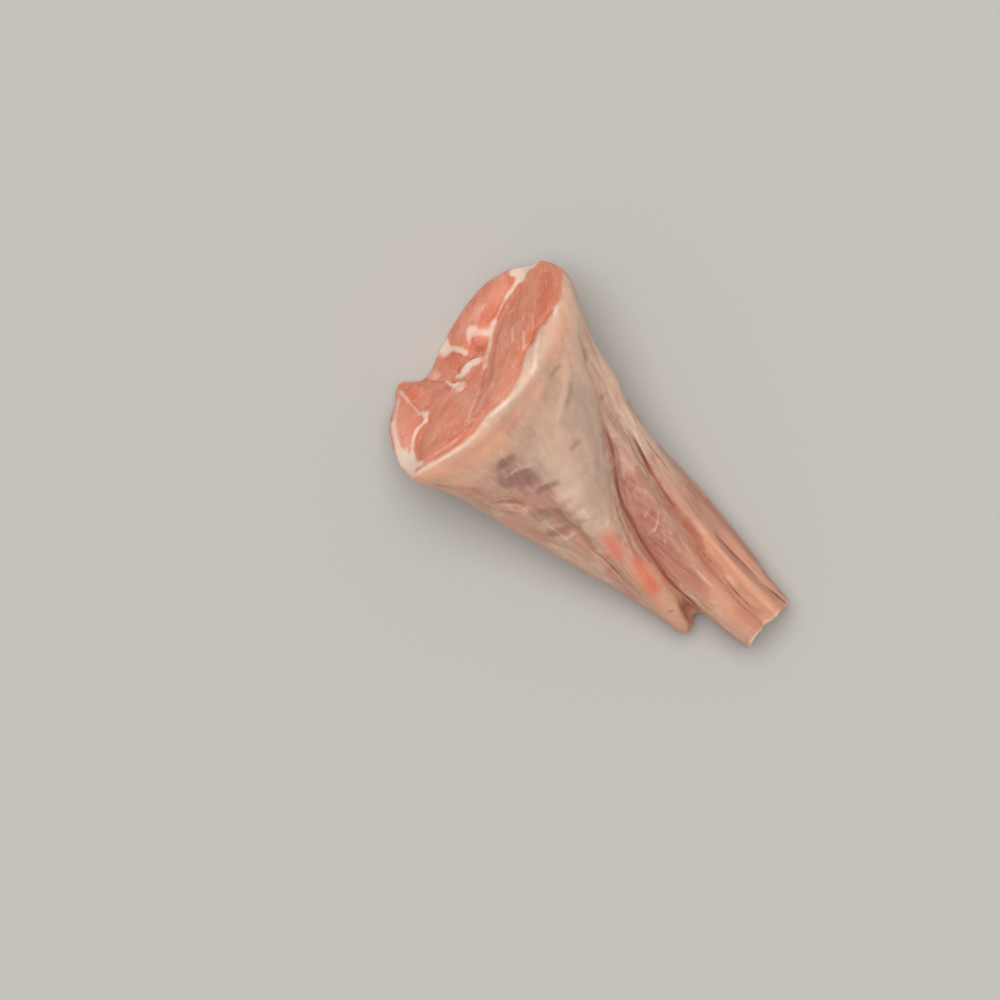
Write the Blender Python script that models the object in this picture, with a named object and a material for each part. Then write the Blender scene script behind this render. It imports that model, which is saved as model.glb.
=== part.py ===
"""Raw lamb shank: meat, fat sheath and tendons grown together in one solid, lying on its broad side.

X runs along the shank, from the oblique cut through the meat to the cut ends of the tendons, Y across
it, and Z up. It rests on the flattened underside, at Z = 0, with the origin below its middle.
All sizes are in millimetres, in a working frame whose X starts at the lowest edge of the cut.
"""

import math

import bmesh
import bpy
import numpy as np
from mathutils import Vector, noise
from mathutils.bvhtree import BVHTree

MM = 0.001

# Driving sizes
LENGTH = 168.0  # lowest edge of the cut to the end of the straps
CUT_FOOT = 2.0  # where the cut's plane meets the table
CUT_RUN = 0.5  # how far the cut runs back for each millimetre of height
CUT_SKEW = 0.06  # and for each millimetre across
TOP_ROUNDING = 2.15  # exponent of a section's upper half: 2 is an ellipse
BOTTOM_ROUNDING = 2.3  # its lower half is a little flatter, where the soft meat settles
SETTLING = 1.6  # height over which the underside rounds into the flat patch it rests on
RIM_DEPTH = 5.0  # how far from the cut its rim is rounded
RIM_ROUNDS = 14
SECTION_POINTS = 120
RING_STEP = 1.5
WELD_VOXEL = 1.1
BLEND_ROUNDS = 10
STROKE_STEP = 1.0
JAG_DEPTH = 0.9
CREASE_HOLLOW = 0.05  # a vertex this far below the mean of its neighbours lies in a crease
CREASE_ROUNDS = 20
LINE_ROUNDING = 1.8  # how round a stroke is along its middle
GROOVE_SHARPNESS = 1.7
FINISHING_ROUNDS = 4
SWELL_LENGTH = 22.0
SWELL_HEIGHT = 0.5
MOST_TRIANGLES = 11200

# Each bundle is a loft along X. Its stations hold x, low y, high y, top z, bottom z, and the
# heights at which it is widest on the low and on the high side of Y.
FAT_SHEATH = (
    (-20, -42, 46, 62, -3, 44, 32),
    (0, -46, 49.4, 67, -3, 46, 33),
    (16, -48.4, 50, 70, -3, 47, 32),
    (32, -47.4, 44.8, 69, -3.6, 43, 30),
    (47, -41.3, 37.9, 62.5, -4, 36, 28),
    (64, -37.2, 32.5, 54, -4, 28, 25),
    (84, -32, 18, 47, -3.4, 22, 20),
    (97, -29.2, 8, 41.5, -3, 18, 16),
    (107, -27, 2.5, 37, -3, 15, 13),
    (121, -23.6, -3.5, 31, -2.4, 12, 9),
    (133, -21.2, -8.5, 24, -1.4, 10, 8),
    (142, -20.4, -12, 17, 0.6, 8, 7),
    (148.8, -19.8, -14.6, 12, 2.4, 7, 7),
)
SHIN_MUSCLE = (
    (52, 8, 24, 44, 16, 30, 30),
    (66, 6, 26, 45, 14, 30, 28),
    (80, 7, 25, 44, 10, 29, 25),
    (94, 1.5, 20, 42, 6, 27, 22),
    (107, -5, 17, 39, 3, 24, 19),
    (120, -8.8, 14.5, 35.5, 0, 21, 16),
    (134, -9.6, 11, 31, -1, 18, 13),
    (150, -8.8, 8, 26.5, -1, 15, 11),
    (LENGTH, -7, 6.2, 22, -0.8, 12, 9),
)
SIDE_STRAP = (
    (60, 14, 31, 38, 16, 27, 26),
    (76, 17, 28.5, 37.5, 10, 24, 22),
    (94, 15, 25.5, 35.5, 6, 21, 18),
    (111, 12, 22.5, 33.5, 3, 19, 16),
    (132, 8.5, 18.5, 29.5, 0, 16, 14),
    (151, 5.5, 16.5, 25, -1, 13, 12),
    (LENGTH - 0.5, 5.2, 16, 21, -0.8, 11, 10),
)
EDGE_TENDON = (
    (56, 16, 34, 30, 8, 20, 19),
    (72, 18, 30.2, 30, 5, 18, 17),
    (84, 17, 27.3, 28.5, 3, 17, 16),
    (100, 16, 26.3, 26.5, 1, 15, 14),
    (113, 14, 25.6, 24.5, 0, 13.5, 12.5),
    (133, 12, 23.4, 21, -1, 11.5, 10.5),
    (151, 11, 20, 19, -1, 10.5, 10),
    (LENGTH + 0.6, 12.4, 17.8, 17, 1, 10, 9),
)
HEEL_TENDON = (
    (60, -12, 24, 30, -3, 12, 12),
    (90, -12, 22, 24, -3, 10, 10),
    (120, -10, 18, 18, -3, 8, 8),
    (150, -7, 13, 13, -3, 6, 6),
    (LENGTH - 3, -5, 11, 10, -2.4, 5, 5),
)
FLAP_WEB = (
    (105, -16, 0, 12, 1, 6, 6),
    (125, -17, -3, 10, 2, 6, 6),
    (138, -17.5, -5, 8.5, 2.6, 6, 6),
    (146.8, -17, -5.5, 8, 3.4, 6, 6),
)
BUNDLES = (FAT_SHEATH, SHIN_MUSCLE, SIDE_STRAP, EDGE_TENDON, HEEL_TENDON, FLAP_WEB)

# How far the foot of the cut bulges back from its plane: y, distance. A tongue of meat juts out at
# y = -27, beside a notch, and the shin muscle bellies out at y = 14.
CUT_OUTLINE = (
    (-60, -1.0),
    (-47, -3.0),
    (-40, -3.8),
    (-34, -3.6),
    (-27, -5.4),
    (-22.5, -4.0),
    (-18, 2.4),
    (-12, 3.4),
    (-5, 2.0),
    (4, -0.6),
    (14, -1.0),
    (24, -0.8),
    (36, -0.6),
    (52, 0.0),
)
CUT_OUTLINE_TOP = 38.0  # the bulges fade out up to this height
CUT_OUTLINE_DEPTH = 16.0  # and over this distance behind the cut

# Each stroke raises or sinks the surface along a line: its points in x and y, its half width, and
# its height, which is negative for a groove.
CUT_MUSCLES = (
    (((18, 43), (22, 26), (27, 12), (30.5, -4), (31, -22), (29, -38)), 17, 3.6),
    (((7, 41), (3.5, 28), (5, 15), (9, 4)), 14, 3.2),
    (((10, -8), (16, -17), (23, -23), (26, -34)), 13, 3.0),
    (((8, -32), (14, -35), (21, -40)), 8, 2.2),
    (((3, -26), (7, -24), (11, -21)), 6, 1.6),
)
CUT_SEAMS = (
    (((4, 44), (8, 30), (12, 16.4), (18.8, 5.1), (25.2, -2.5), (28.7, -9.6), (30, -18)), 8, -4.0),
    (((2, -30), (8, -27.5), (17.9, -27), (19.4, -32), (22, -38), (27, -43)), 7, -3.6),
    (((2, -6.5), (6.7, -2.5), (12, 0.5)), 7, -3.2),
    (((10, 7), (15, 5)), 8, -4.0),
    (((9, -14), (14.7, -11.5), (21, -9.8)), 7, -3.0),
)
SHEATH_FOLDS = (
    (((63, 22), (71.6, 16.6), (77.3, 13), (87.4, 5.4), (97, -1.4), (108, -6.5), (122, -10)), 6, -1.8),
    (((108, -6.5), (120, -10), (129, -11.2), (138, -11.6), (152, -11)), 5, -1.4),
    (((72, 24), (84.3, 19.4), (97.1, 15.4), (108.1, 13.6), (122.6, 10.4), (137.5, 7.6)), 6, -2.0),
    (((122.6, 10.4), (137.5, 7.6), (151.5, 6.3), (171, 5.3)), 5, -1.2),
    (((92, 24), (109.4, 19.4), (126.3, 17), (143.7, 16.5), (172, 16.2)), 5, -1.6),
    (((92, -18), (99.3, -19.3), (112.3, -19.3), (126.8, -21.6)), 3.4, -1.6),
    (((76, -9), (86, -11), (96, -9), (104, -11)), 10, 1.8),
    (((110, -11), (122, -12), (134, -12), (143, -16)), 5, 1.4),
    (((56, -27), (64, -28.4), (72, -25.5)), 5, -1.6),
    (((50, -18), (60, -19.5), (70, -17)), 9, -1.4),
    (((78, -20), (86, -21.5), (92, -20.5)), 5, -1.4),
    (((98, 8), (108, 4), (118, 1)), 8, 1.3),
    (((40.5, 24.5), (51.8, 8), (60, 1)), 7, -1.0),
    (((44, 34), (60, 26), (76, 24)), 7, -1.5),
    (((34, 44), (52, 36), (70, 30)), 4, 1.2),
    (((31, -47), (34, -33), (37, -18), (36.5, 0), (35, 14), (29, 26), (26, 35), (21, 47)), 4.5, 1.5),
)
# On the two sides a stroke's points are x and z.
LOW_SIDE_FOLDS = (
    (((34, 60), (50, 44), (74, 30), (104, 22), (140, 12)), 8, 1.2),
    (((38, 34), (58, 26), (84, 19), (118, 12)), 6, -1.4),
    (((28, 22), (46, 16), (70, 11), (100, 8)), 7, 1.0),
    (((46, 44), (56, 37), (64, 35)), 5, -1.0),
    (((70, 14), (88, 11), (104, 11)), 4, -0.9),
)
HIGH_SIDE_FOLDS = (
    (((30, 48), (52, 40), (78, 32), (110, 27)), 6, 1.2),
    (((24, 34), (46, 27), (70, 21), (100, 17), (140, 12)), 5, -1.8),
    (((34, 18), (58, 14), (86, 10), (120, 8)), 7, 1.2),
    (((58, 8), (90, 5), (130, 4)), 4, -1.2),
    (((20, 22), (32, 14), (44, 12)), 6, -1.2),
)
UNDERSIDE_FOLDS = (
    (((30, 30), (60, 22), (95, 17), (130, 11), (171, 6)), 7, -2.6),
    (((36, -30), (66, -22), (100, -15), (130, -9), (152, -6)), 7, -2.4),
    (((8, 8), (26, 4), (48, -4), (74, -5)), 8, -1.8),
    (((70, 2), (100, 1), (135, 2), (171, 1)), 5, -1.6),
    (((20, -22), (34, -26), (46, -36)), 7, -1.6),
    (((22, 22), (36, 31), (52, 34)), 7, -1.4),
)


def clear_scene():
    for old in list(bpy.data.objects):
        bpy.data.objects.remove(old)


def table_at(table, x):
    """The table's row at x, read from a smooth cubic through its rows."""
    table = np.array(table, float)
    places, values = table[:, 0], table[:, 1:]
    slopes = np.gradient(values, places, axis=0)
    i = int(np.clip(np.searchsorted(places, x) - 1, 0, len(places) - 2))
    gap = places[i + 1] - places[i]
    t = min(max((x - places[i]) / gap, 0), 1)
    start = (1 + 2 * t) * (1 - t) ** 2 * values[i] + t * (1 - t) ** 2 * gap * slopes[i]
    end = t * t * (3 - 2 * t) * values[i + 1] - t * t * (1 - t) * gap * slopes[i + 1]
    return start + end


def ramp(value, low, high):
    """0 below low, 1 above high, and smooth between them."""
    share = np.clip((value - low) / (high - low), 0, 1)
    return share * share * (3 - 2 * share)


def bulge(value, exponent):
    return math.copysign(abs(value) ** (2 / exponent), value)


def section_point(stations, x, angle):
    """The point of the loft's section at x that lies at this angle round it."""
    low, high, top, bottom, low_level, high_level = table_at(stations, x)
    across, upward = math.cos(angle), math.sin(angle)
    exponent = TOP_ROUNDING if upward > 0 else BOTTOM_ROUNDING
    level = low_level + (high_level - low_level) * (1 + across) / 2
    reach = top - level if upward > 0 else level - bottom
    y = (low + high) / 2 + (high - low) / 2 * bulge(across, exponent)
    return Vector((x, y, level + reach * bulge(upward, exponent)))


def loft(stations):
    """A closed bmesh tube that follows the stations: a unit cylinder with rings, moved ring by ring."""
    bm = bmesh.new()
    bmesh.ops.create_cone(bm, cap_ends=True, segments=SECTION_POINTS, radius1=1, radius2=1, depth=1)
    first, last = stations[0][0], stations[-1][0]
    lengthwise = [e for e in bm.edges if abs(e.verts[0].co.z - e.verts[1].co.z) > 0.5]
    rings = max(2, round((last - first) / RING_STEP))
    bmesh.ops.subdivide_edges(bm, edges=lengthwise, cuts=rings)
    for v in bm.verts:
        x = first + (last - first) * (v.co.z + 0.5)
        v.co = section_point(stations, x, math.atan2(v.co.y, v.co.x))
    bmesh.ops.recalc_face_normals(bm, faces=bm.faces)
    return bm


def cut_meat(bm):
    """Cuts the thick end off along the butcher's oblique cut, and closes it."""
    outward = Vector((-1, -CUT_SKEW, CUT_RUN)).normalized()
    cut = bmesh.ops.bisect_plane(
        bm,
        geom=bm.verts[:] + bm.edges[:] + bm.faces[:],
        plane_co=(CUT_FOOT, 0, 0),
        plane_no=outward,
        clear_outer=True,
    )
    rim = [e for e in cut["geom_cut"] if isinstance(e, bmesh.types.BMEdge)]
    bmesh.ops.holes_fill(bm, edges=rim)


def jag_end(bm, end):
    """Frays the flat end of a strap a little, as a blunt saw leaves it."""
    for v in bm.verts:
        if v.co.x > end - 0.1:
            v.co.x += JAG_DEPTH * (math.sin(1.9 * v.co.y + 0.6 * v.co.z) + math.sin(0.8 * v.co.z)) / 2


def welded(meshes):
    """One object of all the lofts, welded where they cross."""
    mesh = bpy.data.meshes.new("shank")
    whole = bmesh.new()
    for bm in meshes:
        bm.to_mesh(mesh)
        bm.free()
        whole.from_mesh(mesh)
    whole.to_mesh(mesh)
    whole.free()
    shank = bpy.data.objects.new("shank", mesh)
    bpy.context.collection.objects.link(shank)
    weld = shank.modifiers.new("weld bundles", "REMESH")
    weld.mode = "VOXEL"
    weld.voxel_size = WELD_VOXEL
    graph = bpy.context.evaluated_depsgraph_get()
    shank.data = bpy.data.meshes.new_from_object(shank.evaluated_get(graph))
    shank.modifiers.clear()
    return shank


class Surface:
    """The shank's surface while it is modelled: its places, and the ends of its edges."""

    def __init__(self, mesh):
        self.mesh = mesh
        self.places = np.empty((len(mesh.vertices), 3))
        self.ends = np.empty((len(mesh.edges), 2), int)
        mesh.vertices.foreach_get("co", self.places.ravel())
        mesh.edges.foreach_get("vertices", self.ends.ravel())
        self.neighbours = np.bincount(self.ends.ravel(), minlength=len(self.places))

    def write(self):
        self.mesh.vertices.foreach_set("co", self.places.ravel())
        self.mesh.update()

    def mean_of_neighbours(self, values):
        """The mean of the values at each place's neighbours."""
        first, second = self.ends.T
        total = np.empty_like(values)
        for axis in range(values.shape[1]):
            from_second = np.bincount(first, values[second, axis], len(values))
            total[:, axis] = from_second + np.bincount(second, values[first, axis], len(values))
        return total / self.neighbours[:, None]

    def soften(self, rounds, where=1.0):
        """Smooths the surface, fully where the given share is 1 and not at all where it is 0."""
        share = np.broadcast_to(np.asarray(where, float), len(self.places))[:, None]
        for _ in range(rounds):
            self.places += 0.5 * share * (self.mean_of_neighbours(self.places) - self.places)

    def normals(self):
        """Every normal, averaged a few times with its neighbours'."""
        self.write()
        normals = np.empty((len(self.places), 3))
        self.mesh.vertices.foreach_get("normal", normals.ravel())
        for _ in range(4):
            normals += self.mean_of_neighbours(normals)
            normals /= np.linalg.norm(normals, axis=1, keepdims=True)
        return normals

    def tree(self):
        self.write()
        return BVHTree.FromPolygons(self.places.tolist(), [p.vertices[:] for p in self.mesh.polygons])


def soften_creases(surface):
    """Rounds the bottoms of the creases in which the bundles meet."""
    hollow = surface.mean_of_neighbours(surface.places) - surface.places
    depth = np.sum(hollow * surface.normals(), axis=1, keepdims=True)
    for _ in range(4):
        depth = (depth + surface.mean_of_neighbours(depth)) / 2
    surface.soften(CREASE_ROUNDS, ramp(depth[:, 0], 0, CREASE_HOLLOW))


def behind_cut(places):
    """Distance along X from the cut's plane."""
    x, y, z = places.T
    return x - CUT_FOOT - CUT_RUN * z + CUT_SKEW * y


def shape_cut_outline(surface):
    """Pushes the foot of the cut in and out along its outline, with the meat close behind it."""
    height = 1 - ramp(surface.places[:, 2], 4, CUT_OUTLINE_TOP)
    depth = 1 - ramp(behind_cut(surface.places), 0, CUT_OUTLINE_DEPTH)
    pushes = np.array([table_at(CUT_OUTLINE, y)[0] for y in surface.places[:, 1]])
    surface.places[:, 0] += pushes * height * depth


def smooth_line(points):
    """Points about a step apart along a smooth line through these points."""
    line = []
    ends = [points[0], *points, points[-1]]
    for before, a, b, after in zip(ends, ends[1:], ends[2:], ends[3:]):
        before, a, b, after = (np.array(p, float) for p in (before, a, b, after))
        count = max(2, math.ceil(np.linalg.norm(b - a) / STROKE_STEP))
        for t in np.arange(count) / count:
            bend = 2 * before - 5 * a + 4 * b - after
            twist = 3 * a - before - 3 * b + after
            line.append(0.5 * (2 * a + (b - before) * t + bend * t**2 + twist * t**3))
    line.append(np.array(points[-1], float))
    return line


def line_on_surface(tree, points, outward):
    """The smooth line laid on the surface that faces outward, and the line's fade towards its ends."""
    flat = smooth_line(points)
    fade = np.sin(np.linspace(0.1, math.pi - 0.1, len(flat))) ** 0.5
    sideways = abs(outward.y) > 0.5
    starts = [Vector((x, 0, other)) if sideways else Vector((x, other, 0)) for x, other in flat]
    hits = [tree.ray_cast(start + 200 * outward, -outward)[0] for start in starts]
    found = [(hit, weight) for hit, weight in zip(hits, fade) if hit is not None]
    line = np.array([hit for hit, _ in found])
    for _ in range(6):
        line[1:-1] = (line[:-2] + 2 * line[1:-1] + line[2:]) / 4
    return line, np.array([weight for _, weight in found])


def distance_to_line(places, line, weights):
    """How far each place is from the line in space, and the line's weight at its nearest point."""
    nearest = np.full(len(places), np.inf)
    fade = np.zeros(len(places))
    for a, b, weight_a, weight_b in zip(line, line[1:], weights, weights[1:]):
        along = b - a
        t = np.clip((places - a) @ along / max(along @ along, 1e-9), 0, 1)
        gap = np.linalg.norm(places - a - t[:, None] * along, axis=1)
        closer = gap < nearest
        nearest[closer] = gap[closer]
        fade[closer] = (weight_a + (weight_b - weight_a) * t)[closer]
    return nearest, fade


def model(surface, strokes, outward):
    """Raises or sinks the surface along each stroke, fading towards its sides and ends."""
    tree = surface.tree()
    normals = surface.normals()
    facing = ramp(normals @ np.array(outward), -0.35, 0.1)
    lift = np.zeros(len(surface.places))
    for points, half_width, height in strokes:
        line, weights = line_on_surface(tree, points, outward)
        gap, fade = distance_to_line(surface.places, line, weights)
        gap = np.hypot(gap, LINE_ROUNDING) - LINE_ROUNDING
        share = np.clip(1 - gap / half_width, 0, 1)
        profile = ramp(share, 0, 1) if height > 0 else share**GROOVE_SHARPNESS
        lift += height * profile * fade * facing
    surface.places += normals * lift[:, None]


def make_uneven(surface):
    """Soft swells all over, as in any piece of meat."""
    swells = [
        noise.noise(Vector(place)) + 0.5 * noise.noise(Vector(place) * 2.3)
        for place in surface.places / SWELL_LENGTH
    ]
    surface.places += surface.normals() * SWELL_HEIGHT * np.array(swells)[:, None]


def settle_on_table(surface):
    """Presses the underside flat where the soft meat rests, and rounds it into that patch."""
    height = surface.places[:, 2]
    rounded = (height + SETTLING) ** 2 / (4 * SETTLING)
    height[:] = np.select([height < -SETTLING, height < SETTLING], [0.0, rounded], height)


def centre_over_origin(surface):
    lows, highs = surface.places.min(axis=0), surface.places.max(axis=0)
    shift = np.array((-(lows[0] + highs[0]) / 2, -(lows[1] + highs[1]) / 2, -lows[2]))
    surface.places = (surface.places + shift) * MM
    print("moved by", shift.round(2))


def raw_meat():
    material = bpy.data.materials.new("raw meat")
    material.use_nodes = True
    surface = material.node_tree.nodes["Principled BSDF"]
    surface.inputs["Base Color"].default_value = (0.62, 0.36, 0.27, 1)
    surface.inputs["Roughness"].default_value = 0.42
    surface.inputs["Metallic"].default_value = 0.0
    return material


def build_shank():
    lofts = [loft(stations) for stations in BUNDLES]
    cut_meat(lofts[0])
    for strap, stations in zip(lofts[1:], BUNDLES[1:]):
        jag_end(strap, stations[-1][0])
    shank = welded(lofts)
    surface = Surface(shank.data)
    surface.soften(BLEND_ROUNDS)
    soften_creases(surface)
    surface.soften(RIM_ROUNDS, 1 - ramp(behind_cut(surface.places), RIM_DEPTH / 2, RIM_DEPTH))
    shape_cut_outline(surface)
    for strokes in (CUT_MUSCLES, CUT_SEAMS, SHEATH_FOLDS):
        model(surface, strokes, Vector((0, 0, 1)))
    model(surface, LOW_SIDE_FOLDS, Vector((0, -1, 0)))
    model(surface, HIGH_SIDE_FOLDS, Vector((0, 1, 0)))
    model(surface, UNDERSIDE_FOLDS, Vector((0, 0, -1)))
    make_uneven(surface)
    surface.soften(FINISHING_ROUNDS)
    settle_on_table(surface)
    centre_over_origin(surface)
    surface.write()
    thin = shank.modifiers.new("fewer faces", "DECIMATE")
    thin.ratio = MOST_TRIANGLES / (2 * len(shank.data.polygons))
    thin.use_collapse_triangulate = True
    shank.data.shade_smooth()
    shank.data.materials.clear()
    shank.data.materials.append(raw_meat())


clear_scene()
build_shank()
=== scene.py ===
"""A raw lamb shank on a plain pale table, seen from straight above."""

import math

import bmesh
import bpy
import numpy as np
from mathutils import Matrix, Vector, noise
from mathutils.bvhtree import BVHTree


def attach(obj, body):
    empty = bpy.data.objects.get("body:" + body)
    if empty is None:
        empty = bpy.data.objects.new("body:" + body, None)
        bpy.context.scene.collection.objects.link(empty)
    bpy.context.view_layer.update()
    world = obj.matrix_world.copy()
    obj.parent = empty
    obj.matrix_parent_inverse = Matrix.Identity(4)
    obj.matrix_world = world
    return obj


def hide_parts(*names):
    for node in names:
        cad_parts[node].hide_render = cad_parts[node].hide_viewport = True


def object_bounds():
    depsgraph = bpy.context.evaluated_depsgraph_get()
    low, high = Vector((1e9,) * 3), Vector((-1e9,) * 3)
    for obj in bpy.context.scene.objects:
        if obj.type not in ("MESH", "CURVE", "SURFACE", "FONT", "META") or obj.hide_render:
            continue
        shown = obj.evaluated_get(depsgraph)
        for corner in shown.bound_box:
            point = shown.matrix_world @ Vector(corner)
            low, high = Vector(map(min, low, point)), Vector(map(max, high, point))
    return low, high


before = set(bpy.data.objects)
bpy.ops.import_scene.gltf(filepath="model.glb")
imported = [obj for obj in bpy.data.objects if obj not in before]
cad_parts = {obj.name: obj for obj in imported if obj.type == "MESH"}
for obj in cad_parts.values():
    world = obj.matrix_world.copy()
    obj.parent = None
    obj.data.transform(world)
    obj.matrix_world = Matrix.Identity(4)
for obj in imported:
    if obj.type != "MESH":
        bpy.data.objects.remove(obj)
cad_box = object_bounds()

# THE WHOLE SHANK
# Meat, fat sheath and tendons are grown together, so the shank is one closed skin. It is modelled
# like clay: strokes raise or sink the skin, and paint marks what shows on it.
MM = 0.001
STROKE_ORIGIN = np.array((83.73, 1.11, 0.0))  # the part's origin, in the strokes' millimetres
SKIN_VOXEL = 0.70  # keeps the skin under 200,000 triangles
SKIN_SOFTENING = 13
SAWN_ENDS = (157, 163)  # along X, from where the skin stays crisp to where it is crispest
SAWN_CRISPNESS = 0.8
NORMAL_ROUNDS = 3
FINER, FINER_SHIFT, FINER_FADE = 2.1, 17.3, 1.9  # the second, finer size of cloudy numbers

# A stroke is its points, its half width, and its height or strength. It fades towards its ends.
STROKE_STEP = 0.8
STROKE_TIP = 0.15  # how far into the fade it starts, of half a turn
LINE_ROUNDING = 0.8
GROOVE_SHARPNESS = 1.5
PAINT_EDGE = 0.8
WASH_REACH = 1.6
UNEVENNESS = 0.32
UNEVEN_SIZE = 2.6

VIEWPOINT = np.array((60.4, -30.4, 2141.0))  # where the camera is, in the strokes' millimetres
VIEW_LEVEL = 30.0  # strokes seen from above are measured at this height, and fall on the skin
FAR_OFF = 200.0

UP = Vector((0, 0, 1))
DOWN = Vector((0, 0, -1))
LOW_SIDE = Vector((0, -1, 0))
HIGH_SIDE = Vector((0, 1, 0))


def ramp(value, low, high):
    """0 below low, 1 above high, and smooth between them."""
    share = np.clip((value - low) / (high - low), 0, 1)
    return share * share * (3 - 2 * share)


def cloudy(coordinates, size):
    """Cloudy numbers of about -1 to 1, with lumps of this size in the coordinates' units."""
    return np.array([noise.noise(Vector(p)) for p in (coordinates / np.array(size)).tolist()])


def fine_skin(node):
    """A copy of the CAD solid in the strokes' millimetres, with an even and much finer skin."""
    bm = bmesh.new()
    bm.from_mesh(node.data)
    bmesh.ops.remove_doubles(bm, verts=bm.verts, dist=0.000001)
    bmesh.ops.scale(bm, vec=(1 / MM, 1 / MM, 1 / MM), verts=bm.verts)
    bmesh.ops.translate(bm, vec=STROKE_ORIGIN, verts=bm.verts)
    mesh = bpy.data.meshes.new("raw_shank")
    bm.to_mesh(mesh)
    bm.free()
    piece = bpy.data.objects.new("raw_shank", mesh)
    bpy.context.collection.objects.link(piece)
    even = piece.modifiers.new("even skin", "REMESH")
    even.mode = "VOXEL"
    even.voxel_size = SKIN_VOXEL
    graph = bpy.context.evaluated_depsgraph_get()
    piece.data = bpy.data.meshes.new_from_object(piece.evaluated_get(graph))
    piece.modifiers.clear()
    return piece


class Skin:
    """The shank's skin while it is modelled: its places, the ends of its edges, and its paint."""

    def __init__(self, mesh):
        self.mesh = mesh
        self.places = np.empty((len(mesh.vertices), 3))
        self.ends = np.empty((len(mesh.edges), 2), int)
        mesh.vertices.foreach_get("co", self.places.ravel())
        mesh.edges.foreach_get("vertices", self.ends.ravel())
        self.neighbours = np.bincount(self.ends.ravel(), minlength=len(self.places))
        self.paints = {}  # for each paint's name, its strength at every place
        self.uneven = self.swell(UNEVEN_SIZE)

    def write(self):
        self.mesh.vertices.foreach_set("co", self.places.ravel())
        self.mesh.update()

    def mean_of_neighbours(self, values):
        """For each place, the mean of the values at the places that its edges lead to."""
        first, second = self.ends.T
        total = np.empty_like(values)
        for axis in range(values.shape[1]):
            from_second = np.bincount(first, values[second, axis], len(values))
            total[:, axis] = from_second + np.bincount(second, values[first, axis], len(values))
        return total / self.neighbours[:, None]

    def soften(self, rounds, share):
        """Smooths the skin, fully where the share is 1 and not at all where it is 0."""
        for _ in range(rounds):
            sag = self.mean_of_neighbours(self.places) - self.places
            self.places += 0.5 * share[:, None] * sag

    def spread(self, values, rounds):
        """Values at the places, each averaged with its neighbours' this many times."""
        values = values[:, None]
        for _ in range(rounds):
            values = (values + self.mean_of_neighbours(values)) / 2
        return values[:, 0]

    def normals(self):
        """Which way the skin faces at each place, a little evened out."""
        self.write()
        normals = np.empty((len(self.places), 3))
        self.mesh.vertices.foreach_get("normal", normals.ravel())
        for _ in range(NORMAL_ROUNDS):
            normals += self.mean_of_neighbours(normals)
            normals /= np.linalg.norm(normals, axis=1, keepdims=True)
        return normals

    def tree(self):
        self.write()
        return BVHTree.FromPolygons(self.places.tolist(), [p.vertices[:] for p in self.mesh.polygons])

    def swell(self, size, stretch=(1, 1, 1)):
        """Cloudy numbers at the places in two sizes, the larger one given in millimetres."""
        places = self.places / size / np.array(stretch)
        return cloudy(places, 1) + cloudy(places * FINER + FINER_SHIFT, 1) / FINER_FADE


def seen_from_above(places):
    """Where the camera sees each place, as X and Y at the level strokes are measured at."""
    nearer = (VIEWPOINT[2] - VIEW_LEVEL) / (VIEWPOINT[2] - places[:, 2])
    return VIEWPOINT[:2] + (places[:, :2] - VIEWPOINT[:2]) * nearer[:, None]


def smooth_line(points):
    """Points about a step apart along a smooth line through these points."""
    line = []
    ends = [points[0], *points, points[-1]]
    for before, a, b, after in zip(ends, ends[1:], ends[2:], ends[3:]):
        before, a, b, after = (np.array(p, float) for p in (before, a, b, after))
        count = max(2, math.ceil(np.linalg.norm(b - a) / STROKE_STEP))
        for t in np.arange(count) / count:
            bend = 2 * before - 5 * a + 4 * b - after
            twist = 3 * a - before - 3 * b + after
            line.append(0.5 * (2 * a + (b - before) * t + bend * t**2 + twist * t**3))
    line.append(np.array(points[-1], float))
    return line


def laid_on(tree, points, outward):
    """A smooth line laid on the skin that faces outward, and its fade towards its two ends."""
    flat = smooth_line(points)
    fade = np.sin(np.linspace(STROKE_TIP, math.pi - STROKE_TIP, len(flat))) ** 0.5
    hits = []
    for x, other in flat:
        if outward == UP:
            start, towards = Vector(VIEWPOINT), Vector((x, other, VIEW_LEVEL)) - Vector(VIEWPOINT)
        elif outward == DOWN:
            start, towards = Vector((x, other, -FAR_OFF)), UP
        else:
            start, towards = Vector((x, 0, other)) + FAR_OFF * outward, -outward  # x and z
        hits.append(tree.ray_cast(start, towards.normalized())[0])
    found = [(hit, weight) for hit, weight in zip(hits, fade) if hit is not None]
    return np.array([hit for hit, _ in found]), np.array([weight for _, weight in found])


def across_stroke(skin, tree, points, half_width, outward):
    """The places within a stroke, how far across it each is from 0 to 1, and the stroke's fade."""
    line, weights = laid_on(tree, points, outward)
    if len(line) < 2:
        return np.array([], int), np.array([]), np.array([])
    low, high = line.min(axis=0) - half_width, line.max(axis=0) + half_width
    near = np.flatnonzero(np.all((skin.places > low) & (skin.places < high), axis=1))
    places = skin.places[near]
    nearest, fade = np.full(len(near), np.inf), np.zeros(len(near))
    for a, b, weight_a, weight_b in zip(line, line[1:], weights, weights[1:]):
        along = b - a
        t = np.clip((places - a) @ along / max(along @ along, 1e-9), 0, 1)
        gap = np.linalg.norm(places - a - t[:, None] * along, axis=1)
        closer = gap < nearest
        nearest[closer] = gap[closer]
        fade[closer] = (weight_a + (weight_b - weight_a) * t)[closer]
    return near, np.clip(nearest / half_width, 0, 1), fade


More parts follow.
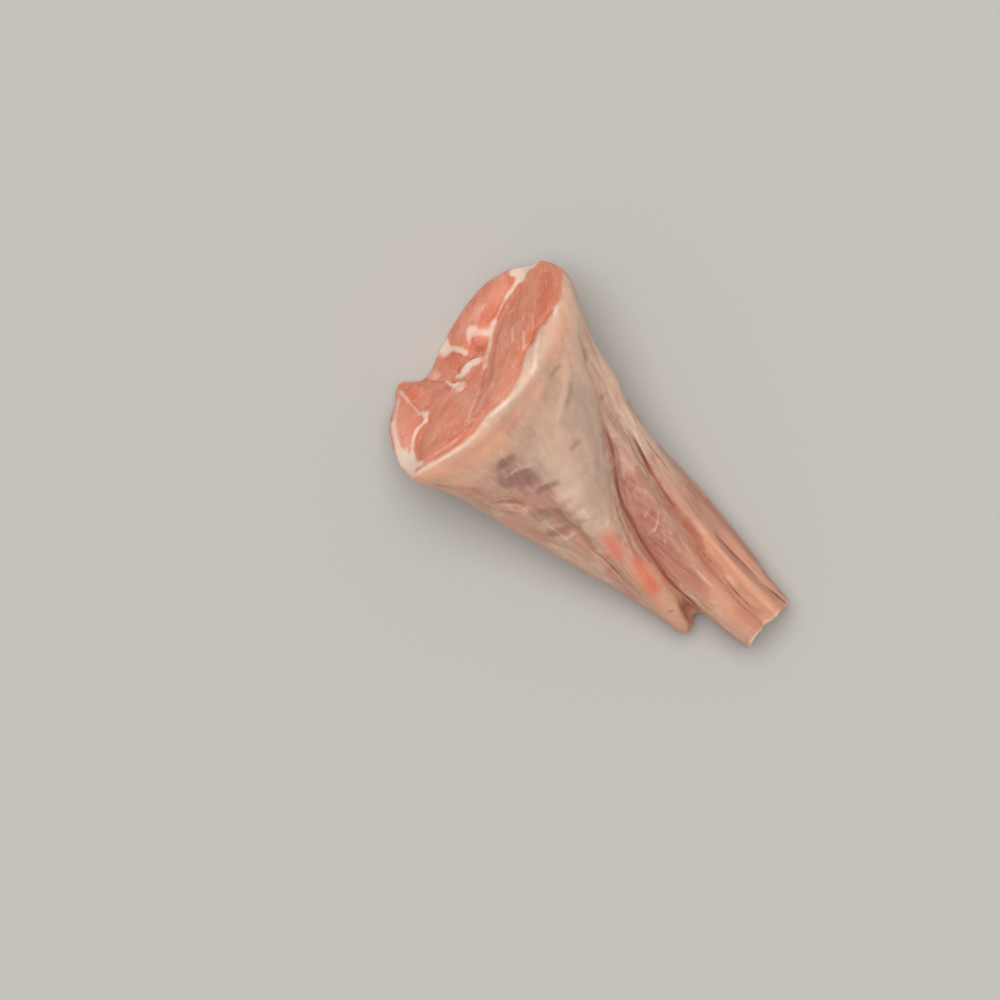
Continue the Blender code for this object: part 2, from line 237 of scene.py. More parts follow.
def model(skin, strokes, outward):
    """Raises or sinks the skin along strokes."""
    tree, normals = skin.tree(), skin.normals()
    lift = np.zeros(len(skin.places))
    for points, half_width, height in strokes:
        near, across, fade = across_stroke(skin, tree, points, half_width, outward)
        rounding = LINE_ROUNDING / half_width
        share = np.clip(1 - np.hypot(across, rounding) + rounding, 0, 1)
        profile = ramp(share, 0, 1) if height > 0 else share**GROOVE_SHARPNESS
        lift[near] += height * profile * fade
    skin.places += normals * lift[:, None]


def draw(skin, name, strokes, outward, profile=lambda depth: depth):
    """Marks the skin along strokes, under the paint's name: full along the middle of a stroke, and
    falling evenly to nothing at its half width."""
    tree = skin.tree()
    marks = skin.paints.setdefault(name, np.zeros(len(skin.places)))
    for points, half_width, strength in strokes:
        near, across, fade = across_stroke(skin, tree, points, half_width, outward)
        marks[near] = np.maximum(marks[near], strength * profile(1 - across) * fade)


def paint(skin, name, strokes, outward):
    """Marks the skin like draw does, but with a broader middle and soft edges."""
    draw(skin, name, strokes, outward, lambda depth: ramp(depth, 0, PAINT_EDGE))


def wash(skin, name, strokes, outward):
    """Marks the skin with strokes that fade outwards unevenly and add up, as stains do."""
    tree = skin.tree()
    marks = skin.paints.setdefault(name, np.zeros(len(skin.places)))
    for points, half_width, strength in strokes:
        near, across, _ = across_stroke(skin, tree, points, half_width * WASH_REACH, outward)
        across = np.clip(across * (1 + UNEVENNESS * skin.uneven[near]), 0, 1)
        marks[near] = 1 - (1 - marks[near]) * (1 - strength * (1 - across**2) ** 2)


def smooth_over(skin, strokes, outward, rounds):
    """Smooths the skin along strokes."""
    tree = skin.tree()
    share = np.zeros(len(skin.places))
    for points, half_width, amount in strokes:
        near, across, fade = across_stroke(skin, tree, points, half_width, outward)
        share[near] = np.maximum(share[near], amount * ramp(1 - across, 0, 1) * fade)
    skin.soften(rounds, share)


shank = fine_skin(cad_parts["shank"])
skin = Skin(shank.data)
skin.soften(SKIN_SOFTENING, 1 - SAWN_CRISPNESS * ramp(skin.places[:, 0], *SAWN_ENDS))

# THE CUT FACE
# The thick end was sawn off obliquely, through several muscles wrapped in their own white seams.
# The muscles bulge a little, the fat between them is recessed or crumpled, and the rim of the
# thick outer fat stands proud round them all.
RIM = (  # y and x of the rim of fat, seen from above
    (-55, 24.0), (-46.4, 29.6), (-41, 30.5), (-35.7, 32.2), (-30.6, 33.8), (-24.2, 35.2),
    (-17, 35.6), (-12.1, 34.6), (-8.4, 34.5), (-2.7, 35.3), (2.2, 35.4), (7.5, 34.2), (11.1, 32.5),
    (13.8, 30.8), (16.4, 29.4), (18.8, 29.2), (21.1, 29.0), (23.6, 27.8), (26.1, 26.5),
    (30.2, 26.8), (34.5, 26.5), (36.8, 24.7), (39.9, 24.6), (43, 23.2), (47.1, 19.6), (55, 15.0),
)
CUT_FOOT = 2.0  # along X, where the cut's plane meets the table
CUT_RUN = 0.5  # how far it leans back over the meat for each millimetre of height
CUT_SKEW = 0.06  # how far it comes forward for each millimetre of Y
RIM_BEHIND = 2.2  # where the skin isn't seen from above, the meat ends this far behind the cut
CUT_FACES_UP = (0.05, 0.35)
CUT_MIDDLE = (0.5, 4)
CUT_SMOOTHING = 200

OUTLINE_REACH = 1.6
OUTLINE_SMOOTHING = 24
CUT_OUTLINE = (
    (((6.4, -0.4), (8.7, -6.1)), 7.0, 4.0),
    (((6, -25.9), (8.1, -26.5)), 6.5, 2.2),
    (((8.5, -31.4), (12.4, -36.6), (18.4, -41.3)), 5.5, 1.4),
    (((9, 43.4), (12.8, 44.9)), 5.5, 1.4),
)
MUSCLE_BULGES = (
    (((18, 44), (21.5, 34), (24, 24), (27.5, 12), (29.5, 0)), 5, 0.3),
    (((30.5, -6), (31.5, -18), (29, -32)), 5, 0.3),
    (((4, 38), (4.5, 28), (6, 18)), 4, 0.24),
    (((17, -17), (22, -22), (24, -32)), 5, 0.3),
    (((7, -10), (10, -4), (13, -6)), 4, 0.3),
    (((10, -31), (14, -34), (20, -41)), 3.5, 0.24),
    (((8.7, 31.6), (13, 24.7), (17.9, 15.7), (22.5, 7), (27.9, -2.6)), 5.5, 0.9),
)
CUT_SEAMS = (
    (((8.2, 36.5), (9.4, 32.2), (9.3, 28.5)), 2, -0.26),
    (((9.3, 28.5), (10.4, 25.3), (11.3, 21.9), (12.7, 17.2), (13.5, 13.8)), 1.5, -0.39),
    (((17.7, 8), (20.3, 4), (23.3, -0.4), (26, -4.4), (28.3, -8.2), (29.7, -13.5)), 1.5, -0.39),
    (((5.2, -26.9), (10.1, -26.8), (14.2, -26.9), (17.3, -27)), 1.5, -0.39),
    (((18, -27.4), (19.9, -33.5), (21.8, -37.7), (24.8, -40.8), (27.9, -42)), 1.6, -0.45),
    (((13.2, 0), (15.6, 1.9), (18.2, 5.6)), 1.3, -0.72),
    (((11.9, 4), (10.6, 7), (12.4, 10.2), (14.6, 12.6)), 1.2, -0.39),
    (((13.4, 4.4), (15, 6.6), (15.8, 7.8)), 3.2, -0.78),
    (((13.8, -3.6), (15.2, -5.6), (17.8, -7.2)), 1.2, -0.72),
    (((8.1, -17.1), (14.4, -12.2), (18.4, -9.2)), 1.3, -0.39),
    (((5.2, -3.8), (8.8, -2.2), (12.6, 0)), 1.1, -0.39),
)
CUT_FAT_LUMPS = (
    (((6.6, 8.7), (9, 10.4), (13.6, 13)), 2.6, 0.6),
    (((8.2, -0.8), (12.2, 1.2)), 1.6, 0.4),
    (((17.4, -5), (16.2, -2), (17.5, 1.4), (18.7, 4.9)), 2.2, 0.8),
    (((14.7, -11.5), (17.8, -11), (18.8, -8.2)), 1.1, 0.8),
    (((18.8, -8.2), (20.9, -8), (20.5, -11.4)), 1.1, 0.8),
    (((16.6, -25.8), (18, -26.8), (19, -29)), 1.5, 0.5),
    (((7.2, -14), (10.4, -12.8)), 2.6, 0.4),
)
RIM_ROLL = (
    (((20.8, 46.4), (24.9, 40), (27.2, 34.8), (28, 25.6), (30.7, 21), (34, 17.2), (36, 14.8)), 2.4, 0.45),
    (((35.4, 15.6), (36.9, 8), (37.1, 3), (36.4, -2.2), (35.9, -9), (36.6, -19.8), (35.4, -30)), 2.2, 0.4),
    (((36, -26), (33.6, -34), (31.4, -41), (29.6, -47)), 2.2, 0.4),
)
RIM_CREASE = (
    (((18.6, 46), (23, 40), (25, 34.6), (25.6, 26), (27.6, 21.6), (28, 16.4), (31.4, 10.6)), 1.6, -0.45),
    (((31.4, 10.6), (33.8, 4), (33.8, -4), (33.4, -10), (34.2, -19), (32.4, -30), (29, -40)), 1.5, -0.45),
)

FAT_ON_CUT = (
    (((5.1, 37), (6.5, 40), (8.5, 43.9)), 2.6, 1.0),
    (((6.4, 37.3), (8.5, 36.7)), 2.2, 0.9),
    (((7.5, 37.2), (8.7, 31.6), (9.1, 28.3)), 1.3, 0.85),
    (((8.6, 28.9), (9.3, 26.4), (11.8, 19.4), (12.8, 16.1)), 0.8, 0.55),
    (((12.6, 16.9), (13.6, 14.2), (13.2, 11.8)), 1.6, 0.75),
    (((7.8, 8.7), (10.2, 10), (12.4, 11.6)), 2.6, 0.6),
    (((7.5, 7.9), (8.3, 9.3)), 2.0, 0.55),
    (((8, 7.4), (11.1, 4.9)), 0.9, 0.5),
    (((13.8, 13.9), (16.8, 10.5), (19.2, 6), (21.7, 2.6)), 1.4, 0.65),
    (((5, -4.4), (5.8, -2.5)), 2.8, 0.85),
    (((5.1, -3.5), (6.8, -1.9), (8.8, -0.2), (12.7, 1.3)), 1.3, 0.85),
    (((16.5, -5.5), (16.7, -4.3)), 2.7, 0.9),
    (((17.3, -4.7), (16.9, -2), (17.2, 0.9)), 2.8, 0.6),
    (((16.7, 0.4), (18.1, 3.9)), 2.2, 0.4),
    (((14.7, -11.7), (17.7, -10.9)), 0.9, 0.75),
    (((18.5, -10.4), (19.7, -10), (19.9, -8)), 2.1, 0.65),
    (((18.3, -9.6), (20.9, -10.2)), 1.4, 0.5),
    (((7.1, -13.8), (9.4, -13), (10.9, -12.9)), 2.6, 0.4),
    (((4.4, -26.5), (7.8, -26.8), (11.3, -27.1), (16.2, -27.5)), 0.8, 0.55),
    (((16.1, -26.6), (17.8, -26.5), (17.8, -25.2)), 1.1, 0.8),
    (((17, -25.9), (19.2, -27.5)), 1.2, 0.85),
    (((18.8, -27.6), (19.2, -30.1), (19.2, -32.2), (20.4, -35.7), (23.2, -39.4), (26.6, -42.5)), 0.95, 0.8),
    (((22.1, -44.1), (25.6, -44.5), (28.3, -44.5)), 3.6, 1.0),
    (((19.8, -43.6), (23.5, -44.4)), 2.2, 0.7),
    (((25.4, -43.7), (27.8, -43.5)), 2.6, 0.9),
    (((11, -37.3), (14.7, -40.1), (18.7, -42.7), (21.9, -43.8)), 2.0, 0.8),
    (((5.6, -28.8), (7.9, -31.9), (10.5, -35.7)), 1.6, 0.45),
    (((27.8, -43.5), (29.2, -41.1)), 1.5, 0.8),
    (((21.3, 2.7), (23.8, -2.2)), 0.9, 0.4),
    (((26.1, -4.8), (27.2, -8.8), (29.2, -13.9), (30.5, -16.3)), 0.7, 0.4),
    (((30.3, -17.3), (32.6, -14.8)), 1.4, 0.35),
    (((30.4, -35.2), (31.1, -32), (31.9, -28.6), (32.8, -22.7)), 0.7, 0.35),
    (((4, -1.6), (7.4, -3.6)), 2.6, 0.75),
    (((5, 36), (6.5, 40), (7.7, 44.2)), 2.0, 0.9),
    (((7.5, 36.7), (7.6, 39.9)), 1.8, 0.7),
    (((16.5, -5.5), (16.6, -1.7), (17.5, 1.7)), 2.4, 0.5),
    (((4.5, 37.6), (6.5, 41), (8, 45)), 1.8, 0.7),
)
THREADS_ON_CUT = (
    (((18.3, 20.8), (23, 16.2)), 0.9, 0.7),
    (((22.5, 22.6), (25.2, 20), (27.7, 17.8)), 0.9, 0.75),
    (((18.4, 26.6), (20.2, 25.2)), 0.8, 0.5),
    (((21.4, 28.6), (24.9, 25.6)), 0.8, 0.5),
    (((14.4, 22), (14.3, 25.4), (14.9, 27)), 0.8, 0.5),
    (((19.5, 10), (18.5, 13.3), (17.1, 15.5)), 0.8, 0.5),
    (((22.8, 18.8), (25.2, 16.8)), 0.8, 0.4),
    (((18.2, 34.3), (17.4, 36.7)), 0.8, 0.4),
    (((22.6, 9.7), (21.3, 13.2)), 0.8, 0.4),
    (((1.2, 15.6), (0.6, 21.8), (0.8, 28.3)), 0.8, 0.3),
    (((1.5, 5.4), (0.5, 9.2)), 0.8, 0.35),
    (((3.2, 0.3), (2.5, 3.2)), 0.8, 0.4),
    (((38.7, -9.1), (37.5, -3.9), (36, -0.1)), 0.8, 0.4),
)
PALE_MEAT_AND_LIGHT_ON_CUT = (
    (((6.9, 7.9), (9.4, 9.8), (12.4, 11.6)), 2.2, 0.75),
    (((4.8, 18.5), (5.8, 15.2), (8.1, 11.1)), 1.6, 0.55),
    (((17.6, -3.9), (17.5, 0.1), (18.1, 3.9)), 2.0, 0.65),
    (((7.9, -13.6), (11.2, -12.6)), 2.0, 0.55),
    (((9.9, -31.1), (15.6, -36.1), (22, -40.6)), 3.2, 0.35),
    (((19.7, -42.7), (24.5, -44.4)), 2.4, 0.6),
    (((29.5, 18.9), (33.6, 11.2), (35, 3.1)), 2.0, 0.4),
    (((2.7, 19.6), (4.6, 12), (5.7, 4.2)), 2.0, 0.25),
    (((18.4, -12.5), (24.4, -12.2), (29.2, -11.8)), 2.6, 0.25),
    (((28.8, -6.4), (30.8, -11.3)), 1.6, 0.3),
    (((26.2, 4.2), (28.9, -3.7), (30.8, -11.3)), 1.6, 0.3),
    (((25.4, -32.1), (27, -22.7)), 3.0, 0.2),
    (((6.6, -31), (14, -37.7)), 2.6, 0.3),
    # painted light in a shallow valley across the largest muscle, against its shade
    (((16.6, 18.2), (21.5, 11.3), (25.6, 3.7)), 2.6, 0.3),
    (((5.1, 11.5), (4.8, 17.4), (4.7, 23.1)), 3.0, 0.22),
    (((7.7, 24.3), (6.2, 29.2)), 2.0, 0.4),
    (((34.3, -2.8), (31.3, 4.8), (28.3, 11.4)), 2.6, 0.35),
)
DEEP_RED_AND_SHADE_ON_CUT = (
    (((14.1, 43.5), (18.3, 39.6), (22.2, 33.9)), 3.2, 0.6),
    (((22.9, 29.3), (26.9, 21.6)), 2.2, 0.5),
    (((12, 5.9), (14.4, 7.2), (16.6, 7.1)), 2.6, 0.6),
    (((10.6, 7.4), (14.5, 11)), 0.7, 0.7),
    (((15.8, 9.6), (17.3, 5.5)), 0.7, 0.8),
    (((7.9, -5.3), (11.4, -3.5), (14.6, -4.6)), 2.8, 0.55),
    # painted shade: a thin dark line along one muscle's edge
    (((16.7, -7.4), (18.1, -9.2), (16.4, -9.8)), 0.8, 0.8),
    (((14.8, -5), (16.2, -6.3)), 0.7, 0.6),
    (((1.9, -25.5), (6.3, -24), (10, -24.7)), 2.0, 0.5),
    (((9.7, -26.5), (14.8, -27), (17.2, -27.8)), 0.8, 0.7),
    (((23.1, -36.9), (27.6, -39.4)), 2.4, 0.45),
    (((8.8, 25.9), (10.5, 20.8), (10.9, 15.9)), 1.1, 0.6),
    (((7.4, -3.1), (9.9, -0.7), (13.2, 0.2)), 0.8, 0.6),
    (((32.6, -17.5), (32.2, -21.5), (31.2, -27.2)), 1.5, 0.45),
    (((7.9, 34), (8.6, 39.9)), 1.4, 0.3),
    (((8.8, -31.1), (13, -33.4), (17.7, -37.3)), 3.0, 0.3),
    (((13.5, 2.7), (13.8, 5.6)), 1.6, 0.3),
    (((7.3, 12.5), (8.3, 18.1), (6.8, 23.5)), 2.6, 0.45),
    (((19.3, 35.3), (25.6, 31.9), (29.8, 26.4)), 2.2, 0.35),
)


def facing_up(skin, low, high):
    """0 where the skin faces up less than low, and 1 where it faces up more than high."""
    return ramp(skin.normals()[:, 2], low, high)


def behind_cut(places):
    """Distance along X from the cut's plane."""
    x, y, z = places.T
    return x - CUT_FOOT - CUT_RUN * z + CUT_SKEW * y


def inside_rim(skin):
    """How far each place is inside the rim of the cut, in millimetres, negative outside it."""
    rim_y, rim_x = np.array(RIM).T
    seen_x, seen_y = seen_from_above(skin.places).T
    from_above = np.interp(seen_y, rim_y, rim_x) - seen_x
    from_below = RIM_BEHIND - behind_cut(skin.places)
    return from_below + (from_above - from_below) * facing_up(skin, *CUT_FACES_UP)


model(skin, CUT_OUTLINE, UP)
outline_strokes = [(points, OUTLINE_REACH * half_width, 1.0) for points, half_width, _ in CUT_OUTLINE]
smooth_over(skin, outline_strokes, UP, OUTLINE_SMOOTHING)
skin.soften(CUT_SMOOTHING, ramp(inside_rim(skin), *CUT_MIDDLE) * facing_up(skin, *CUT_FACES_UP))
for strokes in (MUSCLE_BULGES, RIM_ROLL, RIM_CREASE, CUT_SEAMS, CUT_FAT_LUMPS):
    model(skin, strokes, UP)
wash(skin, "cut_fat", FAT_ON_CUT, UP)
paint(skin, "cut_thread", THREADS_ON_CUT, UP)
wash(skin, "cut_pale_and_light", PALE_MEAT_AND_LIGHT_ON_CUT, UP)
wash(skin, "cut_red_and_shade", DEEP_RED_AND_SHADE_ON_CUT, UP)

# THE FAT SHEATH
# Behind the cut, pale fat and silverskin wrap the meat. They are drawn out into soft streaks
# towards the thin end, with lumps of fat, small dimples where vessels went in, and mauve places
# where the muscle shows through.
# Paint also lays shade in dimples, grooves and along the low edge, and highlights on the rim.
EDGE_SMOOTHING = 150
UNEVEN_EDGE = (
    (((36, 42), (44, 38), (56, 32), (66, 29), (78, 26), (92, 23), (108, 21.6), (130, 19)), 9, 1.0),
)
UNEVEN_HIGH_SIDE = ((((36, 34), (50, 30), (66, 25), (84, 20), (104, 16), (130, 11)), 14, 1.0),)
SHEATH_RELIEF = (
    (((60.6, -32.4), (64.1, -28.5), (68.4, -25.8)), 1.5, -1.2),
    (((62, -33), (67.6, -29.3), (69.8, -26.4)), 1.8, 0.6),
    (((55.9, -24.3), (56.7, -19.3), (59, -14.3), (61.3, -10.8)), 1.8, 0.4),
    (((66.8, -20.3), (67.6, -16), (68.8, -12.8)), 1.8, 0.4),
    (((57.9, -23), (60, -20), (63.4, -17)), 5.0, -0.5),
    (((50.9, -22), (51.7, -18.4), (52.9, -15.2)), 3.2, -0.4),
    (((94, -14), (96.6, -16.4)), 2.6, 0.35),
    (((79.8, -17), (80.4, -13), (81.4, -10.4)), 1.6, -0.5),
    (((84, -18), (84.8, -14), (85.4, -10.4)), 1.6, -0.5),
    (((83.4, -19.4), (87, -18.7), (90.3, -18.4), (94.2, -18.9), (99.2, -19.8)), 1.5, -0.8),
    (((90.2, -18.4), (89.2, -16), (90.4, -12.7)), 1.3, -0.6),
    (((88.4, -25.4), (89.5, -21.3), (90.2, -19.7)), 1.3, 0.6),
    (((73.9, -25.5), (77.6, -20.6), (83.4, -19.4)), 2.4, -0.5),
    (((82.8, -26.2), (87.3, -20.5)), 2.2, -0.5),
    (((49.6, 20), (52.5, 17.1), (54.4, 13)), 2.2, -0.6),
    (((67.2, 6.1), (67.5, 2.6)), 1.6, -0.6),
    (((45.4, 33.2), (48, 31)), 1.6, -0.6),
    (((48, 31), (49.6, 29.8), (52.3, 28.1)), 1.4, -0.3),
    (((62.2, 25.8), (62, 24)), 1.5, -0.6),
    (((41.9, 22.4), (42.4, 16.6)), 1.0, -0.4),
    (((43.9, 3.7), (45.1, -3.1), (45.9, -10.6)), 2.8, -0.35),
    (((57.8, 19.4), (65, 15.7), (73.1, 10.4), (82, 3.6)), 2.2, -0.4),
    (((60, 15), (70, 8), (80, 1)), 2.0, 0.35),
    (((88, -4.3), (97.5, -11), (103.1, -13.6)), 2.4, -0.4),
    (((29.8, 45.2), (42.2, 38.7), (56.3, 32.6), (68, 29.1)), 2.4, -0.45),
    (((47.4, -35.3), (59.4, -34.3), (72.8, -31)), 2.4, -0.4),
)
LUMPS_OF_FAT = (  # both modelled and painted: points, half width and height, half width and strength
    (((76.4, -14.4), (78.9, -12.8)), (3.0, 0.3), (1.8, 0.35)),
    (((80.6, -10.6), (83, -9.4)), (2.8, 0.25), (1.7, 0.3)),
    (((81.4, -14.6), (83.4, -14.8)), (2.8, 0.32), (1.6, 0.4)),
    (((85.4, -15.6), (87.2, -13.6)), (2.6, 0.32), (1.5, 0.4)),
    (((88.4, -12), (91.2, -16)), (3.0, 0.45), (2.0, 0.5)),
    (((41, 26), (45.6, 22.8), (50.1, 17.5), (52.2, 13), (54.7, 6.9)), (2.6, 0.25), (1.6, 0.5)),
)
PEACH_FAT = (
    (((29, 40), (33, 29), (38, 18.7), (41, 5), (42, -8.6), (41.6, -20.7)), 4.5, 0.7),
    (((41, -18), (39.9, -28.3), (37.5, -37), (34, -46)), 5.5, 1.0),
    (((36, 33), (43, 24), (49, 12)), 4.5, 0.35),
    (((46, -16), (44, -28), (42, -40)), 5.0, 0.5),
    (((41.4, -41.9), (45.8, -38.8), (48.3, -34.8)), 3.4, 0.6),
)
# White fat on the rim, and painted highlights: glints along the rim and light lines on ridges.
WHITE_FAT_AND_HIGHLIGHTS = (
    (((25.1, 38.2), (27.4, 34.6)), 1.5, 0.62),
    (((28, 26), (30.7, 21), (34, 17.2), (36, 14.8)), 1.4, 0.45),
    (((33.4, 17.4), (35.6, 15), (36.2, 12.4)), 1.1, 0.68),
    (((36.2, 14), (36.9, 8), (37.1, 3), (36.6, -2.2)), 1.5, 0.34),
    (((36.9, 0), (36, -6.8), (35.2, -12)), 1.3, 0.5),
    (((35.5, -12), (36.6, -19), (36.2, -25)), 1.2, 0.34),
    (((36.2, -23.6), (34.8, -30), (33, -35.6), (31.4, -40)), 1.3, 0.6),
    (((33, -36), (30.8, -42), (29.4, -48)), 2.4, 0.62),
    (((55.9, -24.3), (56.7, -19.3), (59, -14.3), (61.3, -10.8)), 1, 0.3),
    (((66.6, -20.8), (67.6, -16), (68.8, -12.8)), 1.1, 0.25),
    (((66.4, -30.2), (69.5, -26.9), (69.8, -25)), 0.9, 0.3),
    (((88.6, -25), (89.5, -21.3), (90.3, -19.6)), 1.0, 0.24),
    (((91.1, -0.1), (96.4, -4.2), (101.4, -6.5), (107.8, -9.6), (113.1, -12.2)), 1.1, 0.3),
)
# Creamy fat, and painted light: the long strokes along the high side's edge lighten that edge.
CREAMY_FAT_AND_LIT_EDGE = (
    (((29.4, 18.6), (30.6, 15.8), (33, 13), (34.6, 9)), 3.0, 0.9),
    (((62, 28), (74, 25), (88, 20)), 2.6, 0.35),
    (((94, 21), (104, 18.2), (114.2, 16.2), (124, 14.6)), 1.6, 0.25),
    (((26, 38), (29, 30), (33, 22.6), (37, 16)), 3.4, 0.65),
    (((37, 12), (38, 2), (37.4, -8), (37.6, -18), (36.4, -28)), 2.4, 0.6),
    (((32, 40), (40, 33), (52, 26)), 4.0, 0.4),
    (((60, 28), (76, 24), (90, 19.6)), 1.8, 0.2),
    (((60, 2), (68, -4), (78, -9)), 5.0, 0.45),
    (((80, -13), (90, -13), (98, -15), (106, -18)), 4.0, 0.35),
    (((51, 4), (57, -4), (64, -8)), 3.0, 0.35),
    (((25.5, 45.3), (38.8, 40.1), (54.2, 33.8), (72.3, 27.9)), 4.0, 0.75),
    (((71.8, 28.4), (86.2, 25.3), (100.1, 22.8)), 2.4, 0.3),
    (((21.7, 47.1), (31.3, 41.4)), 2.6, 0.5),
    (((149.3, -5), (156.3, -5.7), (162.7, -5.9)), 2.4, 0.5),
)
GREY_VEIL = (
    (((54.6, 20.2), (65, 14.8), (77, 7), (88.3, -1.5)), 6.5, 0.85),
    (((50, 22), (54, 16), (60, 10)), 4.0, 0.5),
    (((60, 1.8), (73.3, -2.5), (85.3, -6.9)), 6.0, 0.4),
    (((52, -9), (58, -12), (66, -11)), 5.0, 0.3),
    (((40.3, 17.5), (49.8, 14), (60.5, 9.4), (71.1, 4.8)), 4.6, 0.55),
    (((71.3, -8.7), (81.4, -10.6), (90.5, -12.4)), 4.6, 0.6),
    (((43.1, 3.4), (53.2, -0.6)), 3.2, 0.35),
    (((73.8, 25.1), (80.7, 22.3), (86.6, 20.5)), 2.6, 0.7),
    (((71.7, -11.4), (74.1, -2.8)), 3.4, 0.55),
    (((78.1, -13.7), (83, -10.1)), 2.6, 0.5),
    (((77.6, -12.1), (83.9, -9.8)), 2.8, 0.5),
)
# Mauve where muscle shows through, and painted shade on a groove's wall and between lumps of fat.
MAUVE_AND_SHADE_ON_SHEATH = (
    (((51.8, -21.3), (52.2, -18.3), (52.5, -15.9)), 1.8, 0.75),
    (((52.9, -21.3), (52.5, -16.5)), 3.4, 0.3),
    (((59.3, -22.6), (61.5, -19.4), (63.2, -16.2)), 2.8, 0.65),
    (((57.7, -23.1), (60.7, -19.7), (64.3, -15.7)), 4.4, 0.45),
    (((58.9, -18.8), (60.8, -15.9)), 2.4, 0.4),
    (((55.2, -23.3), (58.7, -23.6)), 2.4, 0.3),
    (((68.9, -16.7), (70.3, -13.7), (71.6, -10.7)), 1.3, 0.75),
    (((73.5, -25.4), (76.5, -22.5), (79.6, -18.6)), 2.4, 0.65),
    (((76.2, -24.9), (81.4, -21.6)), 3.4, 0.3),
    (((82.8, -19.7), (86, -19.8)), 2.0, 0.4),
    (((83.1, -26.7), (85.1, -24.4), (86.5, -21.5)), 2.0, 0.7),
    (((51.1, -27.7), (55.2, -24.9)), 2.5, 0.25),
    # painted shade on the shaded wall beside the first strap groove
    (
        ((75.7, 15.4), (81.5, 11.5), (88.1, 6.2), (95.5, 1.1), (103.2, -2.6), (111.1, -6), (117.5, -7.8)),
        1.5,
        0.75,
    ),
    (((61.4, 22.8), (69.6, 17.5), (76.7, 11.1)), 2.0, 0.3),
    # painted shade between lumps of fat
    (((82.6, -15.7), (86.4, -15.3), (89.6, -15.4)), 1.8, 0.35),
    (((77.3, 13.8), (83.6, 9.3), (90.7, 4.5)), 1.5, 0.3),
    # painted shade between lumps of fat
    (((81.3, -15.9), (85.3, -15.8)), 2.6, 0.4),
    (((55.9, -17.9), (65.1, -17.6), (73.7, -17.9)), 4.4, 0.32),
    (((70.5, 20.9), (76.3, 18.1), (81.6, 15.8)), 2.6, 0.35),
)
# Pink where muscle shows through, with painted shade and a painted reddish reflection on the low edge.
PINK_AND_SHADE_LOW_EDGE = (
    (((40.5, -42.5), (46.5, -37.8), (52.8, -33.4)), 2.2, 0.5),
    (((51.6, -37.7), (65.6, -35.9), (83.2, -32.4), (100.8, -28.9)), 3.0, 0.3),
    (((51.2, -31.8), (62.1, -26.7), (71.4, -22.6)), 2.6, 0.3),
    (((93.7, -24.1), (102.3, -22.2)), 2.4, 0.3),
    (((44.4, -5.7), (53.6, -6.5)), 4.6, 0.25),
    (((104.8, -20.4), (109.9, -20.8)), 1.8, 0.75),
    (((109.9, -21.3), (116.1, -21.8), (122.8, -22.2)), 2.4, 0.6),
    (((65.9, -25.2), (73.9, -19.8), (86.8, -19.6), (97, -19.3)), 4.6, 0.5),
    (((64.3, -17.9), (71.6, -15.7)), 3.6, 0.45),
    (((52.8, -34.5), (62, -32.1), (72.2, -31.8), (82.8, -29.2)), 3.2, 0.5),
)
# Painted shade in the dimples, in the slits and in the notch at the flap's tip.
DIMPLE_SHADE = (
    (((49.8, 19.6), (52.5, 17.1), (54.1, 13.8)), 1.7, 0.34),
    (((67.1, 5.9), (67.5, 2.8)), 1.3, 0.22),
    (((45.4, 33.4), (47, 32)), 1.4, 0.34),
    (((62.1, 25.8), (62, 24.2)), 1.4, 0.34),
    (((41.9, 22.2), (42.4, 16.8)), 1.0, 0.35),
    (((62.2, -31.4), (65.2, -29.4), (67.6, -27.6)), 1.6, 0.35),
    (((87, -18.7), (90.3, -18.4), (94.2, -18.9), (99.2, -19.8)), 1.2, 0.45),
    (((136.2, -16.8), (136.9, -16.1)), 0.8, 0.6),
)


def modelled(strokes):
    """The half width and height of strokes that are both modelled and painted."""
    return [(points, *relief) for points, relief, _ in strokes]


def painted_on(strokes):
    """The half width and strength of strokes that are both modelled and painted."""
    return [(points, *mark) for points, _, mark in strokes]


smooth_over(skin, UNEVEN_EDGE, UP, EDGE_SMOOTHING)
smooth_over(skin, UNEVEN_HIGH_SIDE, HIGH_SIDE, EDGE_SMOOTHING)
model(skin, [*modelled(LUMPS_OF_FAT), *SHEATH_RELIEF], UP)
wash(skin, "peach", PEACH_FAT, UP)
wash(skin, "cream_and_lit_edge", [*painted_on(LUMPS_OF_FAT), *CREAMY_FAT_AND_LIT_EDGE], UP)
paint(skin, "white_and_highlight", WHITE_FAT_AND_HIGHLIGHTS, UP)
wash(skin, "grey", GREY_VEIL, UP)
wash(skin, "mauve_and_shade", MAUVE_AND_SHADE_ON_SHEATH, UP)
wash(skin, "pink_and_shade", PINK_AND_SHADE_LOW_EDGE, UP)
wash(skin, "dimple_shade", DIMPLE_SHADE, UP)

